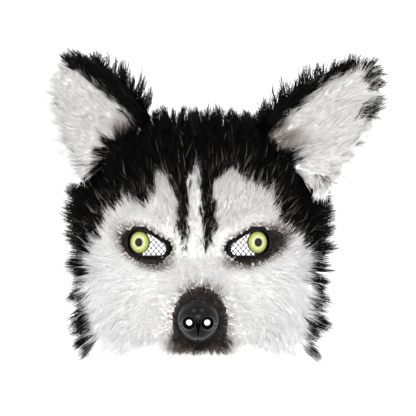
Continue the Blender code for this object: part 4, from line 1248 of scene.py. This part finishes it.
def make_nose():
    bm = bmesh.new()
    bmesh.ops.create_uvsphere(bm, u_segments=176, v_segments=120, radius=1)
    tip_y = face_form(np.zeros(1), np.array([-NOSE_DROP / FACE_BOTTOM]))[0, 1]
    co = np.array([v.co[:] for v in bm.verts])
    x, y, z = co.T
    taper = 1 - 0.16 * np.maximum(0, -z) ** 1.5
    brow = 1 + 0.10 * np.maximum(0, z)
    groove = 0.10 * np.exp(-((x / 0.13) ** 2)) * np.maximum(0, 0.30 - z)
    depth = (y * brow + np.where(y < 0, groove, 0)) * NOSE_DEPTH
    px, pz = x * taper * NOSE_HALF_WIDTH, z * NOSE_SHOWN_HEIGHT - NOSE_SHOWN_DROP
    py = tip_y + 0.002 + depth
    for _, side in SIDES:
        dx = (px - side * NOSTRIL_OFFSET) * side
        dz = pz + NOSTRIL_SHOWN_DROP
        reach = np.hypot(dx, dz)
        ring = 0.0017 * np.exp(-(((reach - NOSTRIL_RING) / 0.0009) ** 2))
        bowl = 0.0036 * smooth(NOSTRIL_RING - 0.0003, NOSTRIL_RADIUS, reach)
        slit = np.exp(-(((dz + 0.0006 + 0.18 * dx) / 0.0008) ** 2)) * smooth(0.0015, 0.0035, dx)
        py = py + np.where(y < 0, bowl - ring + 0.0016 * slit, 0)
    furrow = 0.0014 * np.exp(-((px / 0.0008) ** 2)) * smooth(0.001, -0.002, pz + NOSTRIL_SHOWN_DROP)
    py = py + np.where(y < 0, furrow, 0)
    share = np.clip(pz / FACE_BOTTOM, -1, 1)
    skin = face_form(across_at(px, share), share)[:, 1] - GAP
    py = np.minimum(py, skin)
    for vert, place_at in zip(bm.verts, np.stack((px, py, pz), -1)):
        vert.co = place_at
    nose = from_bmesh(bm, "nose_moulding", nose_plastic, 60)
    for _, side in SIDES:
        where = Matrix.Translation((side * NOSTRIL_OFFSET, tip_y, -NOSTRIL_SHOWN_DROP))
        cut_with(nose, drilled(NOSTRIL_RADIUS, 0.08, where))
    settle(nose, "nose_plastic", "nose")


def make_shell():
    """The moulded form, finer than its solid, with its eye openings and the hole at the nose."""
    def place(u, v, layer):
        across, share = u * 2 - 1, v * 2 - 1
        point = face_form(across, share)
        return point - face_normal(across, share) * np.where(layer, 0, SHELL_WALL)[:, None]

    shell = bent_slab("mask_shell_moulding", shell_plastic, 72, 60, place)
    for _, side in SIDES:
        outline = [Vector((x, y, 0)) for x, y in drop_outline(side, SOCKET_WALL + GAP)]
        loops = [[eye_frame(side, height) @ point for point in outline] for height in (-0.02, 0.02)]
        bm = bmesh.new()
        sleeve(bm, capped(loops))
        bmesh.ops.recalc_face_normals(bm, faces=bm.faces)
        cut_with(shell, bm)
    cut_with(shell, drilled(NOSE_SEAT_RADIUS, 0.06, Matrix.Translation((0, -SNOUT_LENGTH, -NOSE_DROP))))
    settle(shell, "shell_plastic", "mask_shell")


def elastic_material():
    """Woven polyester elastic: dull, with fine ribs across the band."""
    mat, tree, shader = new_material("woven_black_elastic")
    where = add(tree, "ShaderNodeTexCoord").outputs["Object"]
    ribs = add(
        tree, "ShaderNodeTexWave", {"bands_direction": "Z"},
        {"Vector": where, "Scale": ELASTIC_RIBS, "Distortion": 0.6},
    ).outputs["Fac"]
    weave = add(tree, "ShaderNodeValToRGB", None, {"Fac": ribs}, ((0.2, "#0b0b0c"), (0.8, "#232325")))
    tree.links.new(weave.outputs["Color"], shader.inputs["Base Color"])
    relief = add(tree, "ShaderNodeBump", None, {"Height": ribs, "Strength": 0.7, "Distance": 0.0003})
    tree.links.new(relief.outputs["Normal"], shader.inputs["Normal"])
    shader.inputs["Roughness"].default_value = 0.75
    return mat


def dress_band():
    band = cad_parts["elastic_band"]
    mat = elastic_material()
    for slot in band.material_slots:
        slot.material = mat


make_shell()
make_backings()
coat_of_face()
short_coat()
make_ears()
for eye_name, eye_side in SIDES:
    make_eye(eye_name, eye_side)
make_nose()
dress_band()


# The studio: a wide soft front light, two fills, and two small lamps for the nose's highlights
FLOOR_HEIGHT = -0.20
FLOOR_RADIUS = 9
WORLD_STRENGTH = 1.7
LAMP_TARGET = Vector((0, 0, 0.03))
LAMPS = (
    # name, place, size, power
    ("front", (0.0, -2.4, -0.3), 1.8, 84),
    ("left", (-1.7, -1.5, 0.0), 1.4, 12),
    ("right", (1.7, -1.5, 0.0), 1.4, 12),
    ("spark_left", (-0.82, -1.2, 1.55), 0.45, 8),
    ("spark_right", (0.68, -1.2, 1.55), 0.45, 8),
)


def stage():
    bm = bmesh.new()
    bmesh.ops.create_circle(bm, cap_ends=True, segments=96, radius=FLOOR_RADIUS)
    mesh = bpy.data.meshes.new("floor")
    bm.to_mesh(mesh)
    bm.free()
    floor = bpy.data.objects.new("floor", mesh)
    floor.location.z = FLOOR_HEIGHT
    bpy.context.scene.collection.objects.link(floor)
    # Matt white paint, all but even
    paint = mottled_material("pale_floor_paint", "#f8f8f8", "#fbfbfb", 0.8, 0.5, FLOOR_GRAIN, (0.0, 0.001))
    mesh.materials.append(paint)

    world = bpy.data.worlds.new("studio")
    world.use_nodes = True
    world.node_tree.nodes["Background"].inputs["Color"].default_value = (1, 1, 1, 1)
    world.node_tree.nodes["Background"].inputs["Strength"].default_value = WORLD_STRENGTH
    bpy.context.scene.world = world

    for name, place, size, power in LAMPS:
        lamp = bpy.data.lights.new(name, "AREA")
        lamp.size = size
        lamp.energy = power
        ob = bpy.data.objects.new(name, lamp)
        ob.location = place
        ob.rotation_euler = (LAMP_TARGET - Vector(place)).to_track_quat("-Z", "Y").to_euler()
        bpy.context.scene.collection.objects.link(ob)

    camera = bpy.data.cameras.new("camera")
    camera.sensor_width = 36
    camera.lens = 36 * VIEW_DISTANCE / (PHOTO_WIDTH * PIXEL)
    eye = bpy.data.objects.new("camera", camera)
    eye.location = (CAMERA_X, -VIEW_DISTANCE, CAMERA_Z)
    eye.rotation_euler = (math.pi / 2, 0, 0)
    bpy.context.scene.collection.objects.link(eye)
    bpy.context.scene.camera = eye
    bpy.context.scene.view_settings.view_transform = "Standard"


stage()
